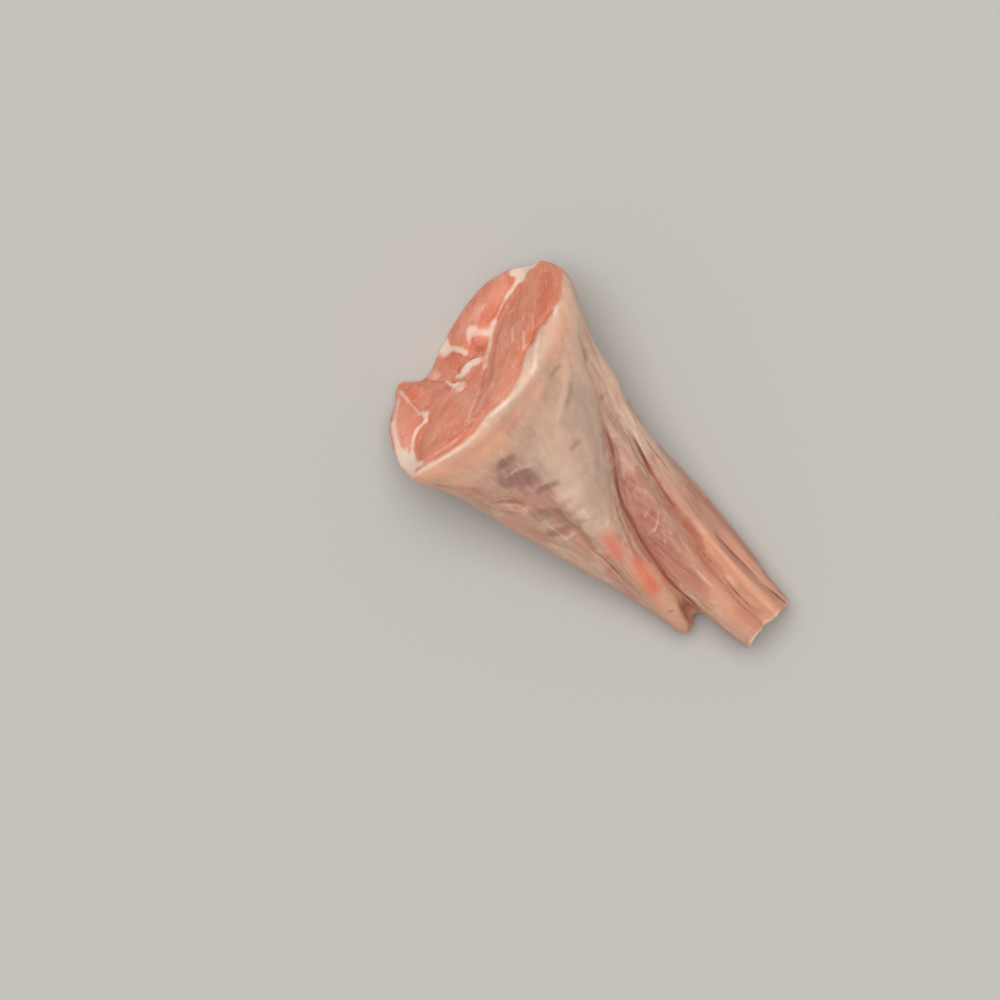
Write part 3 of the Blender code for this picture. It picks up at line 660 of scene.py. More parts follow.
# THE STRAPS AND THE FLAP
# Towards the thin end the shin muscle and the tendons leave the sheath as flat straps, side by
# side with clean grooves between them, sawn off at their ends. The sheath's lower corner ends in
# a loose flap, torn at its tip, and there is a little blood under its skin.
STRAP_RELIEF = (
    (((66.8, 19.3), (74, 15.7), (80.1, 11.9), (83.8, 8.9), (88.4, 5.9), (95, 1.4)), 2.2, -0.8),
    (
        ((86, 7.4), (97.6, -0.2), (103.4, -2.8), (109.6, -5), (117.8, -6.7), (125.2, -7.7), (131, -7.9)),
        1.9,
        -1.3,
    ),
    (((126.5, -8.4), (131.9, -8.9), (136.2, -10), (139.3, -11.4), (143.6, -13)), 2.2, -0.7),
    (((91.1, -0.1), (96.4, -4.2), (101.4, -6.5), (107.8, -9.6), (113.1, -12.2)), 1.5, 0.4),
    (((117, -9.6), (126, -11.6), (133, -12.6), (138, -14.4), (144, -16.6)), 2.2, 0.6),
    (((96, 8), (104, 5.2), (112, 2)), 6.0, 0.5),
    (((73.6, 22.4), (80.8, 19.7)), 1.4, -0.5),
    (((78.7, 23), (87.2, 19.5), (96, 16.6), (104.4, 14.1), (113.4, 12.2)), 2.2, -1.2),
    (((107, 13.8), (117.8, 11.8), (125.4, 10), (130.5, 7.8), (135.4, 6.9), (142, 6.4)), 2.8, -0.8),
    (((132, 7.4), (144.4, 5.9), (155.2, 5.1), (166.5, 5.3), (170, 5.3)), 1.6, -0.9),
    (((107, 19.6), (113.6, 18.9), (124.6, 17.3), (134.4, 16.5), (145.4, 15.4)), 1.5, -0.5),
    (((130, 17), (145.4, 15.4), (155.4, 15.4), (163, 15.1), (170, 14.7)), 1.6, -1.1),
    (((69.4, 28.9), (76.5, 26.3), (81.6, 24.6), (88.5, 22.7)), 1.7, 0.4),
    (((77.2, 26.9), (82.5, 25.4), (88, 24.2), (97.2, 19.7), (106.9, 17)), 1.4, -0.5),
    (((100, 24), (109.4, 22.7), (119.6, 22.7), (128.3, 21.7), (137.4, 20.4), (152.4, 18.5)), 1.3, -0.5),
    (((123, 1.2), (129, -0.4), (134, -1), (141.3, -1.6), (147, -1)), 2.6, -0.45),
    (((106, 8.4), (109.1, 5.6), (110.8, 1.7), (110, -1.4)), 1.1, 0.35),
    (((103.2, 7.1), (104.4, 3.7), (104.6, 1)), 1.0, 0.3),
    (((112, 5.3), (117.7, 0.7), (120.4, -0.4)), 1.0, 0.25),
    (((141.1, 8), (148, 7.6)), 1.2, 0.3),
    (((99.4, -20.2), (104.8, -19.3), (111.5, -19.7), (118.2, -20.2), (125, -20.7)), 1.7, -0.9),
)
STRAP_MUSCLE = (
    (((84, 14.6), (92, 10.6)), 2.6, 0.4),
    (((93, 9.6), (101, 6.2), (108, 3.4), (116, 0.4)), 4.2, 0.85),
    (((99, 0.4), (109, -2.6), (120, -4.6)), 2.4, 0.4),
    (((115, 0.4), (123, -1), (132, -1.6)), 3.4, 0.75),
    (((118, 6), (126, 4), (133, 3)), 2.4, 0.4),
    (((133.4, -0.8), (137, -1.7), (142.3, -1.7)), 2.4, 0.8),
    (((105, 24.7), (113, 23.8), (121, 22.8)), 1.7, 0.5),
    (((118, 23.6), (133.1, 21.4), (148, 19.5)), 1.4, 0.55),
    (((152, 18.6), (158, 18.1), (163, 17.6)), 1.8, 1.0),
    (((91, 13.8), (99, 11.6), (106, 10.4)), 1.8, 0.5),
    (((70.9, 16.1), (76.7, 12.7), (82.8, 9)), 1.5, 0.45),
    (((95.9, 8.4), (102.1, 6.3), (108.2, 4.3)), 2.2, 0.4),
)
ORANGE_STRAP = (
    (((126, 12), (138.1, 11), (150, 10.5), (168, 10.6)), 5.0, 0.9),
    (((116, -14.6), (126, -16.6), (136, -17.4), (147, -17.6)), 4.0, 0.9),
    (((144, -1), (156, -1), (168, -1)), 4.5, 0.45),
    (((132, 19.6), (148, 18), (168, 16.6)), 2.0, 0.5),
    (((128, 4), (140, 2.6), (152, 2)), 3.0, 0.45),
    (((127.2, -8.1), (135.7, -10.5), (142.1, -11.7)), 2.6, 0.75),
    (((118.3, -17.5), (122.6, -18.2), (128, -18.9)), 2.0, 0.6),
)
RED_MUSCLE = (
    (((134.2, -1), (137, -1.8), (140.6, -1.6)), 1.8, 0.45),
    (((155, 1), (160, 0.4), (165, 0.2)), 2.0, 0.5),
    (((112, -4), (118, -5), (124, -5.6)), 1.6, 0.3),
    (((92, 4.8), (99, 2), (106, -0.4)), 2.2, 0.35),
    (((154.3, 18.2), (157.9, 18.1), (162.1, 17.5)), 1.4, 0.8),
    (((108.7, 23.4), (114.7, 21.6)), 1.5, 0.7),
    (((118.5, 24.4), (122.1, 23.9)), 1.3, 0.7),
    (((109.3, 23.1), (117.3, 22.8), (126.2, 22.9)), 1.6, 0.5),
    (((156.3, -5.7), (163.3, -6.4), (169.7, -6.6)), 2.8, 0.2),
)
# Pale strands, and painted highlights along the raised ridges of the straps.
PALE_STRANDS_AND_HIGHLIGHTS = (
    (((106.2, 8.4), (109.1, 5.6), (110.8, 1.7), (110, -1.2)), 0.9, 0.4),
    (((103.2, 7.1), (104.4, 3.7), (104.6, 1.2)), 0.8, 0.28),
    (((112, 5.3), (117.7, 0.7), (120.2, -0.3)), 0.9, 0.25),
    (((113, 7), (119, 3.4), (125, 1.6)), 1.6, 0.16),
    (((93.8, 16.2), (99.3, 14), (102.6, 12.8), (107.1, 12.3)), 0.9, 0.36),
    (((69.4, 28.9), (76.5, 26.3), (81.6, 24.6), (88.5, 22.7)), 1.4, 0.33),
    (((106.2, 10.8), (116.9, 7.3), (126.5, 4.8), (135.6, 3)), 1.8, 0.21),
    (((127, 3), (133, 1.6), (142, 1)), 1.2, 0.3),
    (((127.5, -7), (136, -6.6), (147.2, -6.9), (160, -6.5), (167, -6.4)), 1.1, 0.36),
    (((134, 15.2), (146, 14.2), (156, 14.3), (168, 13.8)), 0.8, 0.27),
    (((144, 4.8), (152, 4.2), (160, 4.2)), 0.8, 0.27),
    (((141.1, 8), (148, 7.6)), 1.2, 0.3),
)
# A brown stain in the grooves between the straps and in the flap's hollow, with painted shade there.
BROWN_STAIN_AND_GROOVE_SHADE = (
    (((109.1, 13.1), (115.8, 12), (122.6, 11), (128.4, 9)), 1.5, 0.85),
    (((117, 11.8), (123.6, 10.8)), 1.9, 0.6),
    (((90, 18.8), (96, 16.6), (104.4, 14.1), (110, 13)), 1.1, 0.8),
    (((126.5, -9), (131.9, -9.6), (137.2, -10.6), (142.3, -12)), 2.0, 0.4),
    (((138, -13), (143, -14.2), (147, -15)), 1.4, 0.25),
    (((128, 8.4), (134, 7.1), (140, 6.6)), 1.2, 0.5),
    (((90.9, 21.4), (99.5, 19), (108.6, 17.2), (118.2, 15.8)), 2.4, 0.28),
)
# Painted shade: thin dark lines along the bottoms of the grooves and slits.
GROOVE_SHADE_LINES = (
    (((70.9, 16.9), (76.7, 13.8), (82.3, 10.1)), 1.7, 0.85),
    (((80.3, 11.4), (84.4, 7.9), (90.4, 3.2), (96.1, 0.2), (103.2, -2.3), (111.2, -4.9)), 1.6, 1.0),
    (((103.2, -2.3), (111.2, -4.9), (119.3, -6.7), (126.4, -7.3)), 1.5, 1.0),
    (((73.6, 21.5), (79.4, 20.1), (87.4, 17.2), (97.9, 14.9)), 1.3, 0.65),
    (((78.9, 22.6), (85.5, 20), (92.5, 17.4), (98.7, 15.7)), 1.9, 0.85),
    (((95.6, 16.5), (106.3, 14), (115.7, 12.1)), 1.5, 0.7),
    (((105.9, 22.5), (112.7, 20), (120.1, 18.2), (126.3, 16.7)), 1.5, 0.52),
    (((125.5, 17), (131.4, 16.3), (138.5, 15.6), (148, 15.3), (155.7, 15.1)), 1.5, 0.7),
    (((154.5, 15.1), (161.5, 15.4), (168.5, 15.7)), 1.5, 0.7),
    (((135.4, 7), (142.5, 6.4), (151.6, 5.6), (160.2, 5.4), (166.4, 5.2)), 1.3, 0.7),
    (((128.7, 8), (135.4, 7)), 1.3, 0.6),
    (((60.9, -31.5), (63.9, -28.5), (66.3, -26.7), (69.2, -25.8)), 1.4, 0.6),
    (((81.6, 25.2), (89.4, 23.6), (96.3, 22.4), (103.8, 21.1)), 1.3, 0.62),
    (((83.6, 28.1), (91.1, 26.8)), 1.2, 0.6),
    (((82.5, -20.5), (88.2, -19.4), (94.1, -19)), 1.2, 0.5),
    (((93, -19), (99.2, -19.9), (104.8, -19.3), (111.5, -19.7), (118.2, -20.2), (124.4, -20.6)), 1.4, 0.66),
    (((70.2, 29.6), (75.2, 27.5), (80.8, 24.9), (86.4, 24), (90.7, 23.9)), 1.1, 0.48),
    (((103, 21.4), (109.1, 19.3), (113.4, 18.6), (118.8, 18.5)), 1.2, 0.46),
    (((127.9, 8.8), (135.2, 7.8), (141.9, 6.8)), 1.2, 0.52),
    (((115.1, -6.4), (122.6, -7.7), (129.1, -8.4), (136.9, -8.4), (146, -8.1)), 1.6, 0.95),
    (((100.1, 23.9), (106, 23.2), (110.9, 22.5)), 1.1, 0.46),
)
BLOOD = (
    (((100.4, -13.5), (103.6, -14.1), (106.8, -15.3)), 2.6, 0.65),
    (((100.2, -12.7), (106.8, -15.8)), 4.2, 0.4),
    (((103.1, -14.1), (105.2, -14.7)), 1.6, 0.85),
    (((107.9, -15.3), (110.6, -16)), 1.4, 0.4),
    (((108.3, -10.2), (113.7, -11.5), (119, -12.7)), 2.2, 0.35),
    (((116.3, -12.1), (120.6, -13.3), (124.6, -14.2)), 2.8, 0.5),
    (((114.7, -11.5), (126.5, -15.1)), 4.4, 0.3),
    (((122.2, -13.3), (125.9, -14.5)), 1.8, 0.6),
    (((117, -7.3), (123.2, -8.2), (128.3, -8.7)), 1.5, 0.55),
)
model(skin, STRAP_RELIEF, UP)
wash(skin, "muscle", STRAP_MUSCLE, UP)
wash(skin, "orange", ORANGE_STRAP, UP)
wash(skin, "red", RED_MUSCLE, UP)
wash(skin, "brown_and_shade", BROWN_STAIN_AND_GROOVE_SHADE, UP)
wash(skin, "blood", BLOOD, UP)
paint(skin, "white_and_highlight", PALE_STRANDS_AND_HIGHLIGHTS, UP)
draw(skin, "groove_shade", GROOVE_SHADE_LINES, UP)

# THE SIDES AND THE UNDERSIDE
# From straight above they don't show. A shank is wrapped the same way all round: silverskin over
# long muscles, with seams of fat in the grooves between them that run to the tendons.
LOW_SIDE_SEAMS = (
    (((36, 40), (52, 34), (72, 26), (96, 20), (124, 13)), (2.0, -0.8), (1.8, 0.6)),
    (((30, 28), (50, 21), (76, 15), (104, 11)), (2.2, -0.7), (1.2, 0.5)),
)
LOW_SIDE_RELIEF = (
    (((34, 52), (48, 46), (62, 40)), 2.4, -0.5),
    (((44, 12), (62, 9), (86, 7)), 2.2, -0.6),
    (((60, 30), (78, 23), (100, 17)), 2.6, 0.5),
    (((108, 8), (122, 8), (140, 7)), 1.8, -0.6),
    (((124, 6), (142, 5), (160, 5)), 1.8, -0.6),
)
HIGH_SIDE_SEAMS = (
    (((28, 40), (46, 33), (70, 26), (98, 20), (130, 15)), (2.0, -0.9), (1.7, 0.6)),
    (((30, 24), (52, 19), (78, 14), (110, 10), (150, 7)), (2.2, -0.8), (1.2, 0.5)),
)
HIGH_SIDE_RELIEF = (
    (((34, 12), (58, 9), (86, 6)), 2.0, -0.6),
    (((90, 15), (118, 12), (150, 10)), 1.8, 0.5),
    (((40, 50), (56, 43), (72, 38)), 2.2, -0.5),
)
UNDERSIDE_SEAMS = (
    (((24, 26), (50, 21), (84, 17), (120, 11), (166, 8)), (2.2, -0.9), (1.8, 0.65)),
    (((28, -26), (52, -22), (84, -17), (116, -11), (146, -8)), (2.2, -0.9), (1.8, 0.65)),
    (((10, 2), (34, 0), (60, -4), (90, -3), (130, 1)), (2.0, -0.7), (1.4, 0.6)),
)
UNDERSIDE_RELIEF = ((((40, 10), (70, 7), (104, 5)), 2.4, 0.4),)
LOW_SIDE_MUSCLE = (
    (((34, 33), (46, 29), (60, 24), (80, 18), (104, 13)), 8, 0.8),
    (((50, 37), (66, 30), (86, 23)), 5, 0.45),
    (((34, 14), (56, 10), (84, 8)), 7, 0.6),
    (((96, 8), (118, 9), (136, 8)), 5, 0.6),
)
HIGH_SIDE_MUSCLE = (
    (((34, 32), (46, 28), (60, 24), (86, 17), (116, 13)), 8, 0.75),
    (((36, 15), (50, 12), (68, 10), (100, 8)), 6.5, 0.7),
    (((90, 20), (120, 16), (150, 12)), 5, 0.6),
    (((110, 6), (136, 5), (160, 5)), 4, 0.5),
)
UNDERSIDE_MUSCLE = (
    (((22, 15), (50, 11), (84, 9), (116, 7)), 11, 0.85),
    (((24, -14), (52, -12), (84, -10), (114, -7)), 10, 0.75),
    (((30, 34), (56, 28), (84, 21)), 7, 0.5),
    (((36, -34), (60, -28), (88, -21)), 7, 0.6),
    (((116, 2), (140, 2), (164, 3)), 6, 0.6),
)
LOW_SIDE_THREADS = (
    (((46, 4), (70, 4), (96, 3)), 2.0, 0.5),
    (((44, 33), (52, 27), (58, 19)), 1.0, 0.35),
    (((84, 22), (96, 15), (110, 11)), 0.9, 0.35),
)
HIGH_SIDE_THREADS = (
    (((40, 36), (50, 30), (60, 20)), 1.0, 0.35),
    (((76, 24), (92, 17), (108, 11)), 1.0, 0.35),
)
UNDERSIDE_THREADS = (
    (((34, 6), (44, 14), (50, 24)), 1.0, 0.45),
    (((60, -14), (72, -6), (78, 4)), 1.0, 0.45),
)
UNDER_CUT_FAT = (
    (((4, 30), (8, 18), (6, 6), (8, -8)), 1.4, 0.5),
    (((20, 30), (14, 10), (14, -12), (20, -32)), 2.0, 0.6),
)
for seams, relief, muscle, threads, outward in (
    (LOW_SIDE_SEAMS, LOW_SIDE_RELIEF, LOW_SIDE_MUSCLE, LOW_SIDE_THREADS, LOW_SIDE),
    (HIGH_SIDE_SEAMS, HIGH_SIDE_RELIEF, HIGH_SIDE_MUSCLE, HIGH_SIDE_THREADS, HIGH_SIDE),
    (UNDERSIDE_SEAMS, UNDERSIDE_RELIEF, UNDERSIDE_MUSCLE, UNDERSIDE_THREADS, DOWN),
):
    model(skin, [*modelled(seams), *relief], outward)
    paint(skin, "side_muscle", muscle, outward)
    draw(skin, "seam", [*painted_on(seams), *threads], outward)
draw(skin, "seam", UNDER_CUT_FAT, DOWN)

# THE GRAIN OF THE MEAT
# Fibres run in arcs across the cut, and lengthwise along the sheath and straps, where they draw
# together with the shank's taper. The fat is softly lumpy, and the sawn ends are ragged.
ARC_CENTRE = (-49.8, -30.0)
ARC_RADIUS = 95.0
# Fibres are given as their fine and coarse sizes, and the coarse ones' share and shift.
ARC_FIBRES = ((1.7, 14, 9), (3.6, 22, 14), 0.6, 40)
FIBRE_HEIGHT = 0.08
LENGTHWISE_STREAKS = ((24, 2.2, 2.2), (36, 5, 5), 0.8, 31)
FAN_STREAKS = ((24, 2.4, 12), (30, 5.5, 16), 0.9, 31)
STREAK_HEIGHT = 0.13
STRAP_FIBRES = ((26, 1.7, 1.7), (40, 3.2, 3.2), 0.7, 13)
STRAP_FIBRE_HEIGHT = 0.13
LUMP_SIZE = 5.5
LUMP_HEIGHT = 0.24
LUMPS_ON_CUT = 0.5
RIM_EDGE = (-0.5, 1.5)
STRAPS_START = (100, 124)

SLICE_LENGTH = 4.0
SLICE_SOFTENING = 6
GRAIN_HALF_WIDTH = 30.0
FAN_POINT = (134.0, -20.0)
FAN_RADIUS = 62.0
FAN_EDGE = ((10, 48), (30, 42), (45, 32), (60, 24), (77.3, 14), (87.4, 6.5), (97, 0), (112, -6), (128, -9))
FAN_FADE = (-2, 5)
FAN_FACES_UP = (0.0, 0.5)

STRAP_ENDS = (  # y and x of the sawn ends
    (-10, 167.2), (-6.1, 167.9), (-0.6, 167.2), (4.7, 166.9), (6, 167.6), (13.2, 167.9), (18, 168.0),
)
STRAP_END_START = (161.5, 163.5)
END_FACES_OUT = (0.1, 0.45)
NICK_SIZE, NOTCH_SIZE, NOTCH_SHARE = 1.6, 4.4, 0.8
RAGGED_DEPTH, RAGGED_LEVEL = 0.45, 0.4
MUSCLES_IN_STRAPS = (  # y, z and radius of each muscle that shows in the sawn ends
    (-4.5, 14.5, 4.6), (-1.5, 7, 4.4), (5.5, 12, 3.4), (11, 8, 5.0), (13.5, 17, 3.8),
)
MUSCLE_EDGE = 0.6
MUSCLE_HEIGHT = 0.3
FLAP_TIP = (141, 146)
TIP_FACES_OUT = (0.1, 0.7)
FLAP_INNER_EDGE = (-10, -7)
BEYOND_FLAP = (152, 156)
TORN_DEPTH, TORN_LEVEL = 1.5, 0.35

RIM_REACH = 30
# Painted shade in hollows: the sag is spread this many times, and gives full shade at this depth.
HOLLOW_SPREAD = 8
DEEP_HOLLOW = 0.022
SEEN_FROM_ABOVE = (-0.15, 0.4)


def drawn_together(places):
    """The places, with each section of the shank stretched to the same width, so grain follows it."""
    x = places[:, 0]
    slices = np.arange(x.min(), x.max(), SLICE_LENGTH) + SLICE_LENGTH / 2
    sizes = []
    for at in slices:
        section = places[abs(x - at) < SLICE_LENGTH]
        sizes.append((section[:, 1].min(), section[:, 1].max(), section[:, 2].max()))
    sizes = np.array(sizes)
    for _ in range(SLICE_SOFTENING):
        sizes[1:-1] = (sizes[:-2] + 2 * sizes[1:-1] + sizes[2:]) / 4
    low, high, top = (np.interp(x, slices, column) for column in sizes.T)
    half = (high - low) / 2
    across = (places[:, 1] - (low + high) / 2) / half
    upward = (places[:, 2] - top / 2) / half
    return np.stack((x, across * GRAIN_HALF_WIDTH, upward * GRAIN_HALF_WIDTH), axis=1)


def fanned_out(places):
    """Places as distance and turn about the point that the sheath's streaks run to."""
    x, y, z = places.T
    back, across = FAN_POINT[0] - x, y - FAN_POINT[1]
    return np.stack((np.hypot(back, across), np.arctan2(across, back) * FAN_RADIUS, z), axis=1)


def share_of_fan(skin):
    """Where the sheath's streaks fan out: on its upper side, up to the shin muscle."""
    edge_x, edge_y = np.array(FAN_EDGE).T
    x, y, _ = skin.places.T
    inner = ramp(np.interp(x, edge_x, edge_y) - y, *FAN_FADE)
    return inner * facing_up(skin, *FAN_FACES_UP)


def fibrous(coordinates, fine, coarse, share, shift):
    """Cloudy numbers in two sizes, drawn out as fibres are."""
    return cloudy(coordinates, fine) + share * cloudy(coordinates + shift, coarse)


def add_grain(skin):
    """Fine relief of fibres, streaks and lumps, each where it belongs."""
    x, y, z = skin.places.T
    on_cut = ramp(inside_rim(skin), *RIM_EDGE)
    along_x, along_y = x - ARC_CENTRE[0], y - ARC_CENTRE[1]
    radius, turn = np.hypot(along_x, along_y), np.arctan2(along_y, along_x) * ARC_RADIUS
    fibres = fibrous(np.stack((radius, turn, z), axis=1), *ARC_FIBRES)
    grain = drawn_together(skin.places)
    fan, fan_share = fanned_out(skin.places), share_of_fan(skin)
    lengthwise, radiating = fibrous(grain, *LENGTHWISE_STREAKS), fibrous(fan, *FAN_STREAKS)
    streaks = lengthwise + (radiating - lengthwise) * fan_share
    strap_fibres = fibrous(skin.places, *STRAP_FIBRES)
    lumps = skin.swell(LUMP_SIZE)
    on_straps = ramp(x, *STRAPS_START)
    on_sheath = (1 - on_cut) * (1 - on_straps)
    lift = (FIBRE_HEIGHT * fibres + LUMP_HEIGHT * LUMPS_ON_CUT * lumps) * on_cut
    lift += (STREAK_HEIGHT * streaks + LUMP_HEIGHT * lumps) * on_sheath
    lift += STRAP_FIBRE_HEIGHT * strap_fibres * on_straps * (1 - on_cut)
    skin.places += skin.normals() * lift[:, None]
    skin.paints["fan_share"] = fan_share
    return grain, fan


def saw_ends(skin):
    """Flat ends where the straps were sawn off, a little ragged like the torn tip of the flap."""
    x, y, z = skin.places.T
    ragged = skin.swell(NICK_SIZE, (3, 1, 2)) + NOTCH_SHARE * skin.swell(NOTCH_SIZE, (3, 1, 1))
    ends_y, ends_x = np.array(STRAP_ENDS).T
    sawn = np.interp(y, ends_y, ends_x) + RAGGED_DEPTH * (ragged - RAGGED_LEVEL)
    on_end = ramp(skin.normals()[:, 0], *END_FACES_OUT) * ramp(x, *STRAP_END_START)
    muscles = np.zeros(len(x))
    for middle_y, middle_z, radius in MUSCLES_IN_STRAPS:
        across = np.hypot(y - middle_y, z - middle_z) / radius * (1 + UNEVENNESS * skin.uneven)
        muscles = np.maximum(muscles, ramp(1 - across, 0, MUSCLE_EDGE))
    skin.paints["sawn"], skin.paints["sawn_muscle"] = on_end, muscles
    skin.places[:, 0] += (sawn - x + MUSCLE_HEIGHT * muscles) * on_end
    torn = ramp(skin.normals()[:, 0], *TIP_FACES_OUT) * ramp(x, *FLAP_TIP)
    torn *= (1 - ramp(y, *FLAP_INNER_EDGE)) * (1 - ramp(x, *BEYOND_FLAP))
    skin.places[:, 0] += TORN_DEPTH * (ragged - TORN_LEVEL) * torn


def stay_in_box(skin):
    """Keeps the skin inside the CAD solid's box, and flat where it rests."""
    low = np.array(cad_box[0]) / MM + STROKE_ORIGIN
    high = np.array(cad_box[1]) / MM + STROKE_ORIGIN
    skin.places = np.clip(skin.places, low, high)


grain, fan = add_grain(skin)
saw_ends(skin)
stay_in_box(skin)
# Painted shade: where the skin sags below its neighbours, spread out, marks hollows to darken.
sag = skin.mean_of_neighbours(skin.places) - skin.places
hollows = skin.spread(np.sum(sag * skin.normals(), axis=1), HOLLOW_SPREAD)
skin.paints["inside_rim"] = np.clip(inside_rim(skin), -RIM_REACH, RIM_REACH)
skin.paints["hollow"] = np.clip(hollows / DEEP_HOLLOW, -1, 1)
skin.paints["upper"] = facing_up(skin, *SEEN_FROM_ABOVE)
skin.places = (skin.places - STROKE_ORIGIN) * MM
skin.write()
for name, marks in skin.paints.items():
    attribute = shank.data.attributes.new(name, "FLOAT", "POINT")
    attribute.data.foreach_set("value", marks.astype(np.float32))
for name, lines in (("grain", grain), ("fan", fan)):
    attribute = shank.data.attributes.new(name, "FLOAT_VECTOR", "POINT")
    attribute.data.foreach_set("vector", lines.astype(np.float32).ravel())
shank.data.shade_smooth()


# THE SHANK'S FINISH
# Fresh meat is moist rather than wet: muscle has a soft sheen along its fibres, fat is waxy and
# lets a little light in, and silverskin is the glossiest.
def linear(*rgb):
    """A colour given as 0 to 255 in sRGB, as the shader's linear light."""
    shares = [c / 255 for c in rgb]
    return tuple(s / 12.92 if s <= 0.04045 else ((s + 0.055) / 1.055) ** 2.4 for s in shares) + (1,)


class Shade:
    """A socket of the material being made, which can be used in sums."""

    tree = None  # the node tree of that material

    def __init__(self, socket):
        self.socket = socket

    @classmethod
    def node(cls, kind, settings=None, inputs=None, output=0):
        """A new node: its settings, then the values or links of its sockets."""
        node = cls.tree.nodes.new(kind)
        for name, value in (settings or {}).items():
            setattr(node, name, value)
        for key, value in (inputs or {}).items():
            if isinstance(value, Shade):
                cls.tree.links.new(value.socket, node.inputs[key])
            else:
                node.inputs[key].default_value = value
        return cls(node.outputs[output]) if node.outputs else None

    def sum(self, operation, first, second):
        return self.node("ShaderNodeMath", {"operation": operation}, {0: first, 1: second})

    def __abs__(self):
        return self.node("ShaderNodeMath", {"operation": "ABSOLUTE"}, {0: self})

    def __add__(self, other):
        return self.sum("ADD", self, other)

    def __radd__(self, other):
        return self.sum("ADD", other, self)

    def __sub__(self, other):
        return self.sum("SUBTRACT", self, other)

    def __rsub__(self, other):
        return self.sum("SUBTRACT", other, self)

    def __mul__(self, other):
        return self.sum("MULTIPLY", self, other)

    def __rmul__(self, other):
        return self.sum("MULTIPLY", other, self)

    def __pow__(self, other):
        return self.sum("POWER", self, other)


def rise(value, low, high):
    """0 below low, 1 above high, and smooth between them."""
    limits = {"Value": value, "From Min": low, "From Max": high}
    return Shade.node("ShaderNodeMapRange", {"interpolation_type": "SMOOTHSTEP"}, limits)


def lay_over(under, over, share):
    """One colour laid over another. The numbers are a Mix node's sockets for colours."""
    settings = {"data_type": "RGBA", "clamp_factor": True}
    return Shade.node("ShaderNodeMix", settings, {0: share, 6: under, 7: over}, 2)


def layered(colour, *layers):
    """A colour with others laid over it one after another, each by its share."""
    for over, share in layers:
        colour = lay_over(colour, over, share)
    return colour


def painted(name, output="Fac"):
    """What the modelling painted on the skin under this name."""
    return Shade.node("ShaderNodeAttribute", {"attribute_name": name}, output=output)


def clouds(where, size, detail=2.0, rough=0.5, bend=0.0):
    """Noise of 0 to 1 with features of this size, in the units of the coordinates."""
    noise_inputs = {"Scale": 1 / size, "Detail": detail, "Roughness": rough, "Distortion": bend}
    return Shade.node("ShaderNodeTexNoise", {}, {"Vector": where, **noise_inputs})


def drawn_out(where, sizes, detail, rough, bend):
    """Noise of 0 to 1 with features of these sizes along the three coordinates."""
    scaled = Shade.node("ShaderNodeVectorMath", {"operation": "DIVIDE"}, {0: where, 1: sizes})
    return clouds(scaled, 1, detail, rough, bend)


def thin_lines(cloud, width):
    """Lines of this width that wind where a cloud is at its middle value."""
    return 1 - rise(abs(cloud - 0.5), 0.0, width)


def broken(name, cloud, spread):
    """A painted mark whose edge is broken up by a cloud."""
    mark = painted(name)
    return rise(mark + (cloud - 0.5) * mark * (1 - mark) * 4 * spread, 0.03, 0.73)


def stain(name, cloud, strength):
    """A painted mark that fades evenly outwards and is a little cloudy all over."""
    return painted(name) * (0.65 + cloud * 0.7) * strength


STRAP_COLOUR_START = (0, 45)  # along X from the part's origin

raw_meat = bpy.data.materials.new("raw_meat")
raw_meat.use_nodes = True
raw_meat.node_tree.nodes.clear()
Shade.tree = raw_meat.node_tree

place = Shade.node("ShaderNodeTexCoord", output="Object")
per_metre = (1 / MM, 1 / MM, 1 / MM)
millimetres = Shade.node("ShaderNodeVectorMath", {"operation": "MULTIPLY"}, {0: place, 1: per_metre})
place_x, place_y, place_z = (
    Shade.node("ShaderNodeSeparateXYZ", {}, {0: millimetres}, output) for output in "XYZ"
)
from_x = place_x + (STROKE_ORIGIN[0] - ARC_CENTRE[0])
from_y = place_y + (STROKE_ORIGIN[1] - ARC_CENTRE[1])
arc_radius = (from_x * from_x + from_y * from_y) ** 0.5
arc_turn = Shade.node("ShaderNodeMath", {"operation": "ARCTAN2"}, {0: from_y, 1: from_x}) * ARC_RADIUS
arcs = Shade.node("ShaderNodeCombineXYZ", {}, {0: arc_radius, 1: arc_turn, 2: place_z})
along_grain = painted("grain", "Vector")
along_fan = painted("fan", "Vector")
fan_share = painted("fan_share")


def strands(width, length, detail, bend):
    """Noise drawn out along the sheath's fan of streaks, or along the grain everywhere else."""
    straight = drawn_out(along_grain, (length, width, width), detail, 0.6, bend)
    fanned = drawn_out(along_fan, (length, width, width * 4), detail, 0.6, bend)
    return straight + (fanned - straight) * fan_share


broad = clouds(millimetres, 18)
patchy = clouds(millimetres, 7, 3)
fine = clouds(millimetres, 1.6, 3, 0.6)
edge_breaker = clouds(millimetres, 2.4, 3, 0.6)
cut_fibres = drawn_out(arcs, (1.3, 18, 8), 3, 0.6, 0.4)
cut_bundles = drawn_out(arcs, (4.5, 26, 12), 2, 0.5, 0.4)
cut_threads = drawn_out(arcs, (0.5, 8, 5), 2, 0.6, 0.3)
cut_flecks = drawn_out(arcs, (0.6, 4.5, 3), 2, 0.5, 0.3)
streaks = strands(2.2, 26, 3, 0.6)
wisps = strands(4.5, 18, 4, 1.6)
bands = strands(6.5, 38, 2, 0.8)
threads = strands(0.8, 14, 2, 0.4)
strap_strands = strands(1.3, 34, 2, 0.5)
wrinkles = thin_lines(strands(3.4, 9, 3, 1.2), 0.035)
glints = thin_lines(strands(2.2, 40, 2, 0.6), 0.04)

